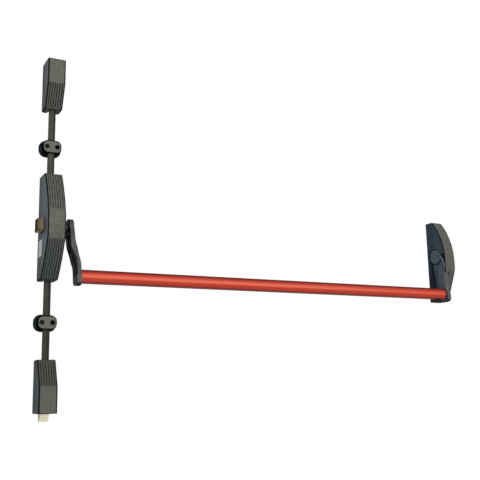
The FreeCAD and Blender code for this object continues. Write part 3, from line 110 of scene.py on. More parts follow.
class Surface(Tree):
    """A finish: one Principled shader and the nodes that feed it."""

    def __init__(self, name, metallic=0.0, coat=0.0, coat_roughness=0.1, specular=0.5):
        self.material = bpy.data.materials.new(name)
        super().__init__(self.material)
        self.shader = self.nodes["Principled BSDF"]
        self.shader.inputs["Metallic"].default_value = metallic
        self.shader.inputs["Coat Weight"].default_value = coat
        self.shader.inputs["Coat Roughness"].default_value = coat_roughness
        self.shader.inputs["Specular IOR Level"].default_value = specular

    def place(self):
        return self.node("ShaderNodeTexCoord", {}, {}, "Object")

    def along(self, axis):
        """Distance along an axis of the piece, in metres."""
        return self.node("ShaderNodeSeparateXYZ", {}, {0: self.place()}, axis)

    def facing(self, axis):
        """How far the surface faces along an axis of the piece, from -1 to 1."""
        normal = self.node("ShaderNodeTexCoord", {}, {}, "Normal")
        return self.node("ShaderNodeSeparateXYZ", {}, {0: normal}, axis)

    def ramp(self, value, low, high):
        """From 0 at low to 1 at high, held outside."""
        return self.node("ShaderNodeMapRange", {}, {"Value": value, "From Min": low, "From Max": high})

    def between(self, value, low, high, fade=0.001):
        """One between two values and nothing outside, with ends that fade out."""
        return self.ramp(value, low - fade, low) * (1 - self.ramp(value, high, high + fade))

    def noise(self, scale, detail=2.0, roughness=0.5, stretch=(1.0, 1.0, 1.0)):
        place = self.node("ShaderNodeMapping", {}, {"Vector": self.place(), "Scale": stretch})
        return self.node("ShaderNodeTexNoise", {}, {"Vector": place, "Scale": scale, "Detail": detail,
                                                    "Roughness": roughness})

    def mix(self, share, first, second):
        return self.node("ShaderNodeMix", {"data_type": "RGBA"}, {0: share, 6: first, 7: second}, 2)

    def finish(self, colour, roughness, bumps):
        """Feeds the shader. Each bump is a height in metres and the value that shapes it."""
        self.feed(self.shader.inputs["Base Color"], colour)
        self.feed(self.shader.inputs["Roughness"], roughness)
        normal = None
        for height, value in bumps:
            inputs = {"Height": value, "Distance": height, "Strength": 1.0}
            if normal:
                inputs["Normal"] = normal
            normal = self.node("ShaderNodeBump", {}, inputs)
        if normal:
            self.feed(self.shader.inputs["Normal"], normal)
        return self.material


def rgb(red, green, blue):
    """A colour written as it looks on a screen, 0 to 255, as the shader wants it."""
    linear = [((c / 255 + 0.055) / 1.055) ** 2.4 if c > 10 else c / 255 / 12.92 for c in (red, green, blue)]
    return (*linear, 1.0)


def dress(material, *nodes):
    """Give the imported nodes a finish."""
    for node in nodes:
        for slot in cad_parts[node].material_slots:
            slot.material = material


zinc_grey = rgb(176, 178, 176)
zinc_bright = rgb(198, 199, 194)
rolling_line = rgb(140, 140, 136)


def zinc_finish():
    zinc = Surface("zinc_plated_steel", metallic=0.85)
    crystals = zinc.node("ShaderNodeTexVoronoi", {}, {"Vector": zinc.place(), "Scale": 160.0}, "Color")
    crystals = zinc.node("ShaderNodeSeparateXYZ", {}, {0: crystals})
    lines = zinc.noise(260.0, 3.0, 0.6, stretch=(1.0, 1.0, 0.06))
    tone = zinc.mix(crystals, zinc_grey, zinc_bright)
    tone = zinc.mix(zinc.ramp(lines, 0.55, 0.8) * 0.4, tone, rolling_line)
    return zinc.finish(tone, lines * 0.18 + 0.32, [(0.00004, lines)])


dress(zinc_finish(), "centre_backplate", "top_backplate", "bottom_backplate", "far_backplate", "upper_slider",
      "lower_slider", "drive_lever", "reversing_lever", "rocker_pin", "latch_pin", "latch_guide_pin")


# Springs. Bright drawn wire, coiled cold. One stands behind each end bolt and one lies behind the
# side latch.

wire_grey = rgb(128, 130, 132)
wire_bright = rgb(158, 160, 162)


def spring_finish():
    wire = Surface("spring_wire", metallic=0.9)
    drawn = wire.noise(1200.0, 2.0, 0.5)
    tone = wire.mix(drawn, wire_grey, wire_bright)
    return wire.finish(tone, drawn * 0.15 + 0.25, [(0.00002, drawn)])


dress(spring_finish(), "top_spring", "bottom_spring", "latch_spring")


# Side latch. A bronze casting with a bevelled nose, browned by handling, with the bush of the spindle
# in the same metal. It slides in the centre case. Painted light brightens its nose, and painted shade
# darkens its end face, its edges and the mouth where it enters the case.

bronze_brown = rgb(134, 119, 95)
bronze_rubbed = rgb(158, 141, 113)
bronze_nose_painted_light = rgb(184, 163, 130)
bronze_scratch = rgb(84, 68, 50)
bronze_edge_shade = rgb(34, 29, 23)
bronze_end_face_shade = rgb(26, 21, 17)
case_gap_shadow = rgb(30, 25, 20)
latch_nose_x = (-0.0220, -0.0320)
latch_mouth_x = (-0.0219, -0.0208)
latch_rounding = 0.0014


def bronze_finish():
    bronze = Surface("handled_bronze", specular=0.0, coat=0.05, coat_roughness=0.3)
    patina = bronze.noise(90.0, 4.0, 0.6)
    rub = bronze.noise(420.0, 3.0, 0.6, stretch=(1.0, 1.0, 0.12))
    side = bronze.facing("X") ** 2
    top = bronze.facing("Z") ** 2
    edge = bronze.ramp(side * (1 - side) + top * (1 - top), 0.15, 0.23)
    across = bronze.along("X")
    tone = bronze.mix(bronze.ramp(patina, 0.32, 0.7), bronze_brown, bronze_rubbed)
    tone = bronze.mix(bronze.ramp(rub, 0.55, 0.75) * 0.4, tone, bronze_scratch)
    # Painted light towards the nose, a painted shadow at the mouth of the case, and painted shade on the end
    # face and along the edges.
    tone = bronze.mix(bronze.ramp(across, *latch_nose_x) * 0.5, tone, bronze_nose_painted_light)
    tone = bronze.mix(bronze.ramp(across, *latch_mouth_x) * 0.8, tone, case_gap_shadow)
    tone = bronze.mix(bronze.ramp(side, 0.5, 0.85) * 0.97, tone, bronze_end_face_shade)
    tone = bronze.mix(edge * 0.8, tone, bronze_edge_shade)
    bronze.feed(bronze.shader.inputs["Metallic"], (1 - bronze.ramp(side, 0.3, 0.6)) * 0.2)
    return bronze.finish(tone, patina * 0.25 + 0.3, [(0.00008, rub), (0.0002, patina)])


def start_mesh_edit(piece, mode):
    """Open a piece in edit mode with nothing selected, and return its mesh data."""
    bpy.ops.object.select_all(action="DESELECT")
    piece.select_set(True)
    bpy.context.view_layer.objects.active = piece
    bpy.ops.object.mode_set(mode="EDIT")
    bpy.ops.mesh.select_mode(type=mode)
    bpy.ops.mesh.select_all(action="DESELECT")
    return bmesh.from_edit_mesh(piece.data)


def end_mesh_edit(piece):
    bpy.ops.object.mode_set(mode="OBJECT")
    bpy.ops.object.select_all(action="DESELECT")
    piece.select_set(True)
    bpy.context.view_layer.objects.active = piece


def settle(piece, name, angle=math.radians(35)):
    """Name a piece, put its place in its mesh and smooth its curved faces."""
    end_mesh_edit(piece)
    bpy.ops.object.transform_apply(location=True, rotation=True, scale=True)
    bpy.ops.object.shade_smooth_by_angle(angle=angle)
    piece.name = name
    piece.data.name = name
    return piece


def finish_piece(piece, material, body):
    piece.data.materials.clear()
    piece.data.materials.append(material)
    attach(piece, body)


def own_copy(node):
    """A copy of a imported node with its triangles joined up, which stands for the node."""
    bpy.ops.object.select_all(action="DESELECT")
    copy = bpy.data.objects.new(node + "_body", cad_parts[node].data.copy())
    bpy.context.scene.collection.objects.link(copy)
    start_mesh_edit(copy, "VERT")
    bpy.ops.mesh.customdata_custom_splitnormals_clear()
    bpy.ops.mesh.select_all(action="SELECT")
    bpy.ops.mesh.remove_doubles(threshold=0.00001)
    end_mesh_edit(copy)
    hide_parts(node)
    return copy


def softened(node, width, angle):
    """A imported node's copy with its sharp edges rounded off."""
    copy = own_copy(node)
    start_mesh_edit(copy, "VERT")
    bpy.ops.mesh.select_all(action="SELECT")
    bpy.ops.mesh.dissolve_limited(angle_limit=math.radians(2.0))
    end_mesh_edit(copy)
    bpy.ops.object.modifier_add(type="BEVEL")
    rounding = copy.modifiers[-1]
    rounding.width = width
    rounding.segments = 3
    rounding.limit_method = "ANGLE"
    rounding.angle_limit = math.radians(angle)
    bpy.ops.object.modifier_apply(modifier=rounding.name)
    return settle(copy, node + "_body")


bronze = bronze_finish()
dress(bronze, "spindle_bush")
finish_piece(softened("side_latch", latch_rounding, 30.0), bronze, "latch")


# Vertical rods. Steel bar, 16 mm, in a thin brown-black coat that shows the drawing lines. Each one
# stands between its slide plate in the centre case and the bolt at its other end.

rod_brown = rgb(58, 56, 50)
rod_worn = rgb(72, 70, 63)
rod_line = rgb(38, 37, 32)
rod_shade = rgb(20, 20, 17)
rod_outer_shade = rgb(16, 16, 13)


def rod_finish():
    coat = Surface("brown_black_rod_coat", specular=0.0, coat=0.15, coat_roughness=0.3)
    lines = coat.noise(900.0, 3.0, 0.6, stretch=(1.0, 1.0, 0.012))
    blotch = coat.noise(60.0, 4.0, 0.6)
    turned = coat.facing("X")
    tone = coat.mix(coat.ramp(blotch, 0.3, 0.7), rod_brown, rod_worn)
    tone = coat.mix(coat.ramp(lines, 0.55, 0.75) * 0.3, tone, rod_line)
    tone = coat.mix(coat.ramp(turned, -0.5, 0.15) * 0.55, tone, rod_shade)
    tone = coat.mix(coat.ramp(turned, -0.9, -1.0) * 0.5, tone, rod_outer_shade)
    return coat.finish(tone, lines * 0.15 + 0.36, [(0.00005, lines)])


dress(rod_finish(), "upper_rod", "lower_rod")


# End bolts. Machined steel with a satin nickel plate, warm where the old grease has dried, with
# painted brown shade on the left flank. They slide in the end cases, one up and one down.

nickel_warm = rgb(252, 243, 212)
nickel_stain = rgb(246, 232, 194)
left_flank_shade = rgb(84, 72, 54)


def bolt_finish():
    nickel = Surface("satin_nickel", metallic=0.8, specular=0.3)
    scratches = nickel.noise(800.0, 3.0, 0.6, stretch=(1.0, 1.0, 0.08))
    stain = nickel.noise(110.0, 3.0, 0.6)
    tone = nickel.mix(nickel.ramp(stain, 0.35, 0.7), nickel_warm, nickel_stain)
    # Painted shade: the left flank turns brown.
    tone = nickel.mix(nickel.ramp(0 - nickel.facing("X"), 0.5, 0.9) * 0.9, tone, left_flank_shade)
    return nickel.finish(tone, scratches * 0.2 + 0.28, [(0.00004, scratches)])


dress(bolt_finish(), "top_bolt", "bottom_bolt")


# Rod guides. Small castings that hold the rods to the door, each with a thin foot, a raised body and
# two sunk screws. Satin black, rubbed grey in front, with painted shade on the flanks, the rim and the
# screw seats, and painted light on the flanks of the foot.

cast_rubbed = rgb(102, 101, 96)
cast_fleck = rgb(124, 122, 115)
cast_underside_shade = rgb(12, 14, 16)


def cast_black(name, front, flank, flank_painted_light_worn, edge, rim=0.5, coat=0.1, extra=None):
    """Satin paint over a casting: rubbed grey in front, with a painted flank tone, a painted edge tone and
    painted shade underneath.
    """
    paint = Surface(name, specular=0.0, coat=coat, coat_roughness=0.3)
    wave = paint.noise(70.0, 3.0, 0.55)
    grain = paint.noise(1100.0, 3.0, 0.6)
    speck = paint.noise(300.0, 3.0, 0.6)
    ahead = paint.facing("Y") ** 2
    tone = paint.mix(paint.ramp(wave, 0.32, 0.7) * 0.6, front, cast_rubbed)
    tone = paint.mix(paint.ramp(speck, 0.50, 0.72) * 0.3, tone, cast_fleck)
    # Painted light and shade: the flanks take their own tone, and the rounded edges between front and flanks
    # take the edge tone.
    dark = paint.mix(paint.ramp(wave, 0.35, 0.65) * 0.6, flank, flank_painted_light_worn)
    tone = paint.mix(paint.ramp(ahead, 0.25, 0.75), dark, tone)
    tone = paint.mix(paint.ramp(ahead * (1 - ahead), 0.05, 0.16) * rim, tone, edge)
    if extra:
        tone = extra(paint, tone)
    # Painted shade underneath.
    tone = paint.mix(paint.ramp(0 - paint.facing("Z"), 0.3, 0.8) * 0.85, tone, cast_underside_shade)
    rough = paint.ramp(wave, 0.2, 0.8) * 0.14 + 0.42
    return paint.finish(tone, rough, [(0.0001, grain), (0.0003, wave)])


def box_middle(node):
    """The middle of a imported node's box."""
    return [(low + high) / 2 for low, high in zip(*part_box(node))]


guide_middles = [box_middle(node)[2] for node in ("upper_guide", "lower_guide")]
guide_round = 0.0125
guide_straight_x = 0.0090
guide_straight_z = 0.0030
guide_rim_starts = guide_round - 0.0034
guide_rim_full = guide_round - 0.0022
guide_screw_x = 0.0116
guide_seat_radius = 0.0050
guide_seat_shade = 0.0062
guide_foot_y = (-0.0180, -0.0110)
# The flank, edge, rim and seat tones are painted shade, and the foot's flank tone is painted light.
guide_front = rgb(99, 101, 94)
guide_flank_shade = rgb(3, 4, 5)
guide_flank_shade_worn = rgb(14, 16, 18)
guide_edge_shade = rgb(10, 12, 14)
guide_rim_shade = rgb(3, 4, 5)
guide_seat_shadow = rgb(14, 15, 14)
guide_foot_lit_flank = rgb(62, 73, 77)


def add_guide_marks(paint, tone):
    """Painted shade on a guide's rim and around its screw seats, and painted light on the rear half of its
    flank.
    """
    from_centre = abs(paint.along("X"))
    from_middle = paint.math("MINIMUM", *[abs(paint.along("Z") - middle) for middle in guide_middles])
    past_straight = paint.math("MAXIMUM", from_centre - guide_straight_x, 0.0) ** 2
    past_straight = past_straight + paint.math("MAXIMUM", from_middle - guide_straight_z, 0.0) ** 2
    rim = paint.ramp(past_straight, guide_rim_starts ** 2, guide_rim_full ** 2)
    tone = paint.mix(rim * 0.85, tone, guide_rim_shade)
    from_screw = (from_centre - guide_screw_x) ** 2 + from_middle ** 2
    seat = paint.ramp(from_screw, guide_seat_shade ** 2, guide_seat_radius ** 2)
    tone = paint.mix(seat * 0.85, tone, guide_seat_shadow)
    foot = paint.ramp(paint.along("Y"), *guide_foot_y) * paint.ramp(paint.facing("Y") ** 2, 0.6, 0.2)
    return paint.mix(foot * 0.7, tone, guide_foot_lit_flank)


guide_paint = cast_black("satin_black_guide", guide_front, guide_flank_shade, guide_flank_shade_worn, guide_edge_shade,
                         rim=0.95, coat=0.0, extra=add_guide_marks)
dress(guide_paint, "upper_guide", "lower_guide")


# Case covers. Moulded shells, a tall one with a flat pad between two grooved slopes, two small ones
# on the rod ends and a curved one at the far end, all in a fine textured black that is rubbed
# to a warm grey on the flats. Painted shade darkens the grooves and the rounded edges and makes
# the sides cooler and darker.

groove_pitch = 0.0055
groove_half_width = 0.0011
groove_field = 0.0153
groove_wall = 0.0003
groove_fade = 0.0008
field_fade = 0.0005
upper_slope = (0.0302, 0.1190)
lower_slope = (-0.1170, -0.0374)
top_case_slope = (0.2796, 0.3303)
bottom_case_slope = (-0.3473, -0.2966)
slope_groove_shade = ((upper_slope, 0.6), (lower_slope, 0.8), (top_case_slope, 1.0), (bottom_case_slope, 1.0))
case_half_width = 0.0200
case_edge_starts = 0.0034
case_edge_full = 0.0026
case_side_y = (-0.010, -0.046)
bottom_slope_fade = 0.004
case_ends = [corner[2] for node in ("top_cover", "centre_cover", "bottom_cover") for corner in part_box(node)]
case_rim = (0.0028, 0.0016)
seat_radius = 0.0032
seat_shade_radius = seat_radius * 1.2
near_seats = [box_middle(node)[1:] for node in ("top_cover_screws", "bottom_cover_screws")]
far_seats = ((-0.021, 0.0313), (-0.0095, -0.0555))
arm_pocket = {"X": (1.1098, 1.1260), "Y": (-0.0120, 0.0), "Z": (-0.140, 0.0)}
pocket_fade = 0.0003
pad_grey = rgb(89, 88, 81)
pad_rubbed = rgb(98, 97, 89)
speck_dark = rgb(52, 55, 56)
# The underside, edge, slope, groove, pocket, end and seat tones are painted shade.
underside_shade = rgb(40, 54, 60)
edge_shade = rgb(6, 8, 10)
bottom_slope_shade = rgb(30, 34, 36)
groove_shade = rgb(24, 30, 33)
pocket_shade = rgb(46, 54, 66)
end_rim_shade = rgb(10, 13, 16)
seat_black = rgb(3, 4, 5)


def moulded_grooves(paint):
    """Shows where the grip grooves of the slopes run, and how much painted shade each field's grooves take.
    """
    across = paint.along("X")
    from_rib = paint.math("PINGPONG", across, groove_pitch / 2)
    groove_edge = groove_pitch / 2 - groove_half_width
    groove = paint.ramp(from_rib, groove_edge - groove_wall, groove_edge + groove_wall)
    fields = 0.0
    for slope, shade_share in slope_groove_shade:
        fields = paint.between(paint.along("Z"), *slope, groove_fade) * shade_share + fields
    return groove * fields * (1 - paint.ramp(abs(across), groove_field - field_fade, groove_field))


def pocket_back(paint):
    """Shows the wall behind the arm in the far cover."""
    share = 1.0
    for axis, (low, high) in arm_pocket.items():
        share = paint.between(paint.along(axis), low, high, pocket_fade) * share
    return share


def seat_shadow(paint, seats):
    """Shows the dark ring of each side screw's seat."""
    across, up = paint.along("Y"), paint.along("Z")
    share = 0.0
    for seat_y, seat_z in seats:
        apart = (across - seat_y) ** 2 + (up - seat_z) ** 2
        share = paint.ramp(apart, seat_shade_radius ** 2, seat_radius ** 2) + share
    return share * paint.facing("X") ** 2


def end_rim(paint):
    """Shows the last two millimetres of the near cases' fronts, rounded and darkened by painted shade."""
    share = 0.0
    for end in case_ends:
        share = paint.ramp(abs(paint.along("Z") - end), *case_rim) + share
    return share * paint.ramp(paint.facing("Z") ** 2, 0.9, 0.6)


def textured_black(name, middle, half, side_shade_rear, side_shade_front, fleck, seats, extra):
    """Case paint: warm and rubbed on the flats, with painted shade that makes the sides cooler and darker and
    darkens the rounded edges.
    """
    paint = Surface(name, specular=0.0, coat=0.1, coat_roughness=0.35)
    grain = paint.noise(1500.0, 3.0, 0.6)
    blotch = paint.noise(38.0, 4.0, 0.62)
    speck = paint.noise(260.0, 4.0, 0.62)
    side = paint.facing("X") ** 2
    tone = paint.mix(paint.ramp(blotch, 0.3, 0.7) * 0.5, pad_grey, pad_rubbed)
    depth = paint.ramp(paint.along("Y"), *case_side_y)
    # Painted shade: the sides take a cooler, darker tone, darker towards the rear.
    tone = paint.mix(paint.ramp(side, 0.5, 0.9), tone, paint.mix(depth, side_shade_rear, side_shade_front))
    tone = paint.mix(paint.ramp(speck, 0.48, 0.72) * 0.36, tone, fleck)
    tone = paint.mix(paint.ramp(speck, 0.52, 0.28) * 0.36, tone, speck_dark)
    # Painted shade on the undersides and along the rounded edges.
    tone = paint.mix(paint.ramp(0 - paint.facing("Z"), 0.15, 0.5) * 0.38, tone, underside_shade)
    to_edge = half - abs(paint.along("X") - middle)
    edge = paint.ramp(to_edge, case_edge_starts, case_edge_full) * (1 - side)
    rounded = (paint.ramp(side * (1 - side), 0.006, 0.045) + edge).clamped()
    tone = paint.mix(rounded * 0.97, tone, edge_shade)
    # Painted shade on the bottom case's slope, in the grooves, behind the far arm, at the ends and in the
    # screw seats.
    bottom_slope = paint.between(paint.along("Z"), *bottom_case_slope, bottom_slope_fade) * (1 - side)
    tone = paint.mix(bottom_slope * 0.3, tone, bottom_slope_shade)
    tone = paint.mix(moulded_grooves(paint) * 0.85, tone, groove_shade)
    tone = paint.mix(pocket_back(paint) * 0.8, tone, pocket_shade)
    tone = paint.mix(end_rim(paint) * 0.8, tone, end_rim_shade)
    tone = paint.mix(seat_shadow(paint, seats) * 0.95, tone, seat_black)
    tone = extra(paint, tone)
    rough = paint.ramp(blotch, 0.2, 0.8) * 0.14 + 0.50
    return paint.finish(tone, rough, [(0.00012, grain), (0.00025, speck)])


# Painted shade: the near cases' sides, darker towards the rear.
near_side_shade_rear = rgb(74, 76, 80)
near_side_shade_front = rgb(98, 99, 102)
near_fleck = rgb(138, 136, 126)
low_side_z = (-0.050, -0.105)
low_side_shade = rgb(34, 44, 48)
latch_shadow_z = (-0.012, 0.013, 0.012)
latch_shadow_y = (-0.068, -0.054, 0.014)
latch_shadow_x = (-0.016, -0.018)
latch_shadow = rgb(30, 33, 38)


def add_near_shade(paint, tone):
    """A painted shadow on the patch beside the latch, and painted shade on the lower ends of the sides."""
    shade_share = paint.between(paint.along("Z"), *latch_shadow_z) * paint.between(paint.along("Y"), *latch_shadow_y)
    shade_share = shade_share * paint.ramp(paint.along("X"), *latch_shadow_x)
    tone = paint.mix(shade_share * 0.6, tone, latch_shadow)
    low = paint.ramp(paint.along("Z"), *low_side_z) * paint.ramp(paint.facing("X") ** 2, 0.5, 0.9)
    return paint.mix(low * 0.26, tone, low_side_shade)


far_middle_x = box_middle("far_cover")[0]
far_half_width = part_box("far_cover")[1][0] - far_middle_x
# Painted shade: the far case's sides and flecks are darker and cooler than the near cases'.
far_side_shade_rear = rgb(52, 61, 70)
far_side_shade_front = rgb(63, 72, 82)
far_fleck_in_shade = rgb(104, 114, 126)
arm_lead = -0.0522
arm_lead_slope = 0.724
arm_lead_bow = 6.51
lip_half_width = (0.0014, 0.0030)
lip_z = (-0.064, 0.002, 0.006)
lip_highlight = rgb(140, 146, 150)
gap_ahead = (0.0016, 0.0030)
gap_z = (-0.026, 0.002, 0.006)
gap_shade = rgb(6, 9, 12)


def add_far_gap(paint, tone):
    """A painted highlight along the far arm's front lip, and painted shade in the gap between it and the
    case's front.
    """
    up = paint.along("Z")
    ahead = up * arm_lead_slope + up ** 2 * arm_lead_bow + arm_lead - paint.along("Y")
    flank = paint.ramp(paint.facing("X") ** 2, 0.6, 0.9)
    gap = paint.ramp(ahead, *gap_ahead) * paint.between(up, *gap_z)
    tone = paint.mix(gap * flank * 0.92, tone, gap_shade)
    lip = (1 - paint.ramp(abs(ahead), *lip_half_width)) * paint.between(up, *lip_z)
    return paint.mix(lip * flank * 0.85, tone, lip_highlight)


def start_again(piece, mode):
    bpy.ops.object.mode_set(mode="OBJECT")
    return start_mesh_edit(piece, mode)


def choose(mesh, items, test):
    """Select the faces or edges that pass a test."""
    for item in items:
        if test(item):
            item.select_set(True)
    mesh.select_flush_mode()


def relaid_rib(cover):
    """Lay a rib of the upper slope anew, whose packed triangles cut across its bow."""
    rib_sides = (1.5 * groove_pitch + groove_half_width, 2.5 * groove_pitch - groove_half_width)

    def at_side(vertex, side):
        return abs(vertex.co.x - side) < 0.00002 and upper_slope[0] < vertex.co.z < upper_slope[1]

    def on_rib(face):
        return all(any(at_side(vertex, side) for side in rib_sides) for vertex in face.verts)

    def across_rib(face):
        return on_rib(face) and all(any(at_side(vertex, side) for vertex in face.verts) for side in rib_sides)

    def along_rib(edge):
        return any(all(at_side(vertex, side) for vertex in edge.verts) for side in rib_sides)

    mesh = start_mesh_edit(cover, "FACE")
    choose(mesh, mesh.faces, lambda face: across_rib(face) and face.normal.y < -0.05)
    bpy.ops.mesh.delete(type="FACE")
    mesh = start_again(cover, "EDGE")
    choose(mesh, mesh.edges, lambda edge: edge.is_boundary and along_rib(edge))
    bpy.ops.mesh.bridge_edge_loops()
    return cover


case_paint = textured_black("textured_black_paint", 0.0, case_half_width, near_side_shade_rear, near_side_shade_front,
                            near_fleck, near_seats, add_near_shade)
# The far cover's paint is a shaded copy of the case paint, with the painted gap and lip.
far_paint = textured_black("textured_black_far_paint", far_middle_x, far_half_width, far_side_shade_rear,
                           far_side_shade_front, far_fleck_in_shade, far_seats, add_far_gap)
dress(case_paint, "top_cover", "bottom_cover")
dress(far_paint, "far_cover")
centre_cover = settle(relaid_rib(own_copy("centre_cover")), "centre_cover_body")
finish_piece(centre_cover, case_paint, "base")


# Rating plate place on the centre case's left side, below the latch. A bare strip of thin foil with
# rounded corners and a rolled border, stuck on.

foil_thickness = 0.0004
foil_height = 0.037
foil_depth = 0.0285
foil_corner = 0.0018
foil_border = 0.0009
foil_roll = 0.0003
foil_sink = 0.00012
foil_y = -0.0260
foil_z = -0.0495
foil_pale = rgb(168, 168, 166)
foil_smudged = rgb(140, 141, 142)


def foil_plate():
    case_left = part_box("centre_cover")[0][0]
    bpy.ops.object.select_all(action="DESELECT")
    bpy.ops.mesh.primitive_cube_add(size=1.0, location=(case_left - foil_thickness / 2, foil_y, foil_z))
    plate = bpy.context.object
    plate.scale = (foil_thickness, foil_depth, foil_height)
    bpy.ops.object.transform_apply(location=False, rotation=False, scale=True)

    def at_corner(edge):
        middle = (edge.verts[0].co + edge.verts[1].co) / 2
        return abs(middle.y) > foil_depth * 0.49 and abs(middle.z) > foil_height * 0.49

    mesh = start_mesh_edit(plate, "EDGE")
    choose(mesh, mesh.edges, at_corner)
    bpy.ops.mesh.bevel(offset=foil_corner, segments=5, affect="EDGES")
    mesh = start_again(plate, "FACE")
    choose(mesh, mesh.faces, lambda face: face.normal.x < -0.9)
    bpy.ops.mesh.inset(thickness=foil_border, depth=0.0)
    bpy.ops.mesh.inset(thickness=foil_roll, depth=-foil_sink)
    return settle(plate, "foil_plate")


def foil_finish():
    foil = Surface("bare_foil", metallic=0.2, specular=0.3)
    brushing = foil.noise(300.0, 3.0, 0.6, stretch=(1.0, 1.0, 14.0))
    smudge = foil.noise(120.0, 3.0, 0.6)
    tone = foil.mix(foil.ramp(smudge, 0.35, 0.7), foil_pale, foil_smudged)
    return foil.finish(tone, brushing * 0.2 + 0.32, [(0.00003, brushing)])


finish_piece(foil_plate(), foil_finish(), "base")


# Spindles. Turned steel with a black oxide finish and a fine turning mark. The near one turns in its
# bush and carries the drive lever, the far one turns in its base plate.

spindle_black = rgb(32, 32, 34)
spindle_worn = rgb(62, 61, 60)


def spindle_finish():
    turned = Surface("blackened_spindle", metallic=0.2, specular=0.3)
    rings = turned.noise(1400.0, 2.0, 0.5, stretch=(1.0, 0.05, 0.05))
    tone = turned.mix(rings, spindle_black, spindle_worn)
    return turned.finish(tone, rings * 0.2 + 0.25, [(0.00004, rings)])


dress(spindle_finish(), "centre_spindle", "far_spindle")


# Arms. Two castings in satin black, fixed on the spindles by set screws. The near one swings beside
# the centre case, and the far one lies in the pocket of the far case. Painted shade darkens the near
# arm's flanks, the rear of its curve and the far arm's foot; the far arm's flanks take a lighter
# painted tone, and the rounded edges take painted light.

# Painted shade on the near arm's flanks and the rear of its curve, and painted light on its rounded edges and
# on the flank of its foot.
near_arm_rounding = 0.0012
near_arm_front = rgb(74, 74, 72)
near_arm_flank_shade = rgb(12, 19, 24)
near_arm_flank_shade_worn = rgb(52, 60, 64)
near_arm_edge_light = rgb(60, 61, 62)
near_foot_z = (-0.096, -0.106)
near_foot_lit_flank = rgb(82, 88, 86)
curve_z = (-0.108, -0.072, 0.027)
curve_rear_x = 0.0390
curve_bulge = 0.0125
curve_edge = (0.0010, -0.0006)


def add_curve_shade(paint, tone):
    """Painted light on the flank of the near arm's foot, and painted shade on the rear half of its curve."""
    up = paint.along("Z")
    foot = paint.ramp(up, *near_foot_z) * paint.ramp(paint.facing("Y") ** 2, 0.6, 0.25)
    tone = paint.mix(foot * 0.45, tone, near_foot_lit_flank)
    reach = paint.between(up, *curve_z) * curve_bulge + curve_rear_x
    return paint.mix(paint.ramp(paint.along("X") - reach, *curve_edge) * 0.95, tone, near_arm_flank_shade)


# The far arm's flanks take a lighter painted tone and its edges a painted highlight; the channel, the
# crescent under the hub and the foot take painted shade.
far_arm_rounding = 0.0015
far_arm_front = rgb(78, 78, 76)
far_arm_lit_flank = rgb(80, 89, 101)
far_arm_lit_flank_worn = rgb(88, 97, 108)
far_arm_edge_highlight = rgb(150, 154, 156)
channel_slope = 0.2035
channel_front = -0.0175
channel_width = (-0.0090, -0.0052, 0.0016)
channel_z = (-0.096, -0.036, 0.006)
channel_shade = rgb(20, 26, 32)
hub_y = -0.029
hub_crescent = (0.0222, 0.0250)
hub_crescent_z = (-0.006, -0.013)
hub_crescent_shadow = rgb(8, 12, 16)
far_foot_z = (-0.1230, -0.1310)
far_foot_shade = rgb(12, 14, 16)


def add_far_marks(paint, tone):
    """Painted shade in the channel behind the far arm's rear lip, a painted shadow under its hub, painted
    shade on its foot, and its painted front lip and gap.
    """
    up = paint.along("Z")
    behind = paint.along("Y") - up * channel_slope - channel_front
    channel = paint.between(behind, *channel_width) * paint.between(up, *channel_z)
    tone = paint.mix(channel * 0.8, tone, channel_shade)
    from_hub = (paint.along("Y") - hub_y) ** 2 + up ** 2
    crescent_shadow = paint.between(from_hub, hub_crescent[0] ** 2, hub_crescent[1] ** 2, 0.00004) * paint.ramp(up, *hub_crescent_z)
    tone = paint.mix(crescent_shadow * 0.9, tone, hub_crescent_shadow)
    tone = paint.mix(paint.ramp(up, *far_foot_z) * 0.8, tone, far_foot_shade)
    return add_far_gap(paint, tone)


near_arm_paint = cast_black("satin_black_arm", near_arm_front, near_arm_flank_shade, near_arm_flank_shade_worn,
                            near_arm_edge_light, extra=add_curve_shade)
far_arm_paint = cast_black("satin_black_far_arm", far_arm_front, far_arm_lit_flank, far_arm_lit_flank_worn,
                           far_arm_edge_highlight, extra=add_far_marks)
near_arm = softened("left_arm", near_arm_rounding, 40.0)
far_arm = softened("right_arm", far_arm_rounding, 40.0)
finish_piece(near_arm, near_arm_paint, "push_bar_assembly")
finish_piece(far_arm, far_arm_paint, "push_bar_assembly")


# Push bar. An extruded tube in semi-gloss red powder coat with its faint orange peel, screwed to the
# feet of the arms. A painted highlight runs along its front, and painted shade darkens its upper and
# lower strips, its underside and its far end.

bar_middle = box_middle("push_bar")[2]
bar_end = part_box("push_bar")[1][0]
highlight_height = (-0.0022, -0.0002, 0.0028)
highlight_fades_x = (1.6, 0.6)
lower_strip = (-0.0075, -0.0092)
upper_strip = (0.0050, 0.0108)
end_shade = (-0.0085, -0.0020)
end_corner_from = (-0.012, -0.010)
end_corner_x = 0.010
end_corner_z = 0.0060
end_corner_round = (0.0078, 0.0092)
# The band along the front is a painted highlight; the strip, underside, end and corner tones are painted
# shade.
red_bright = rgb(196, 72, 54)
red_deep = rgb(184, 62, 46)
red_highlight = rgb(238, 118, 94)
red_lower_shade = rgb(160, 52, 38)
red_upper_shade = rgb(84, 16, 10)
red_underside_shade = rgb(110, 32, 22)
red_end_shade = rgb(26, 8, 6)
end_corner_shade = rgb(14, 12, 13)


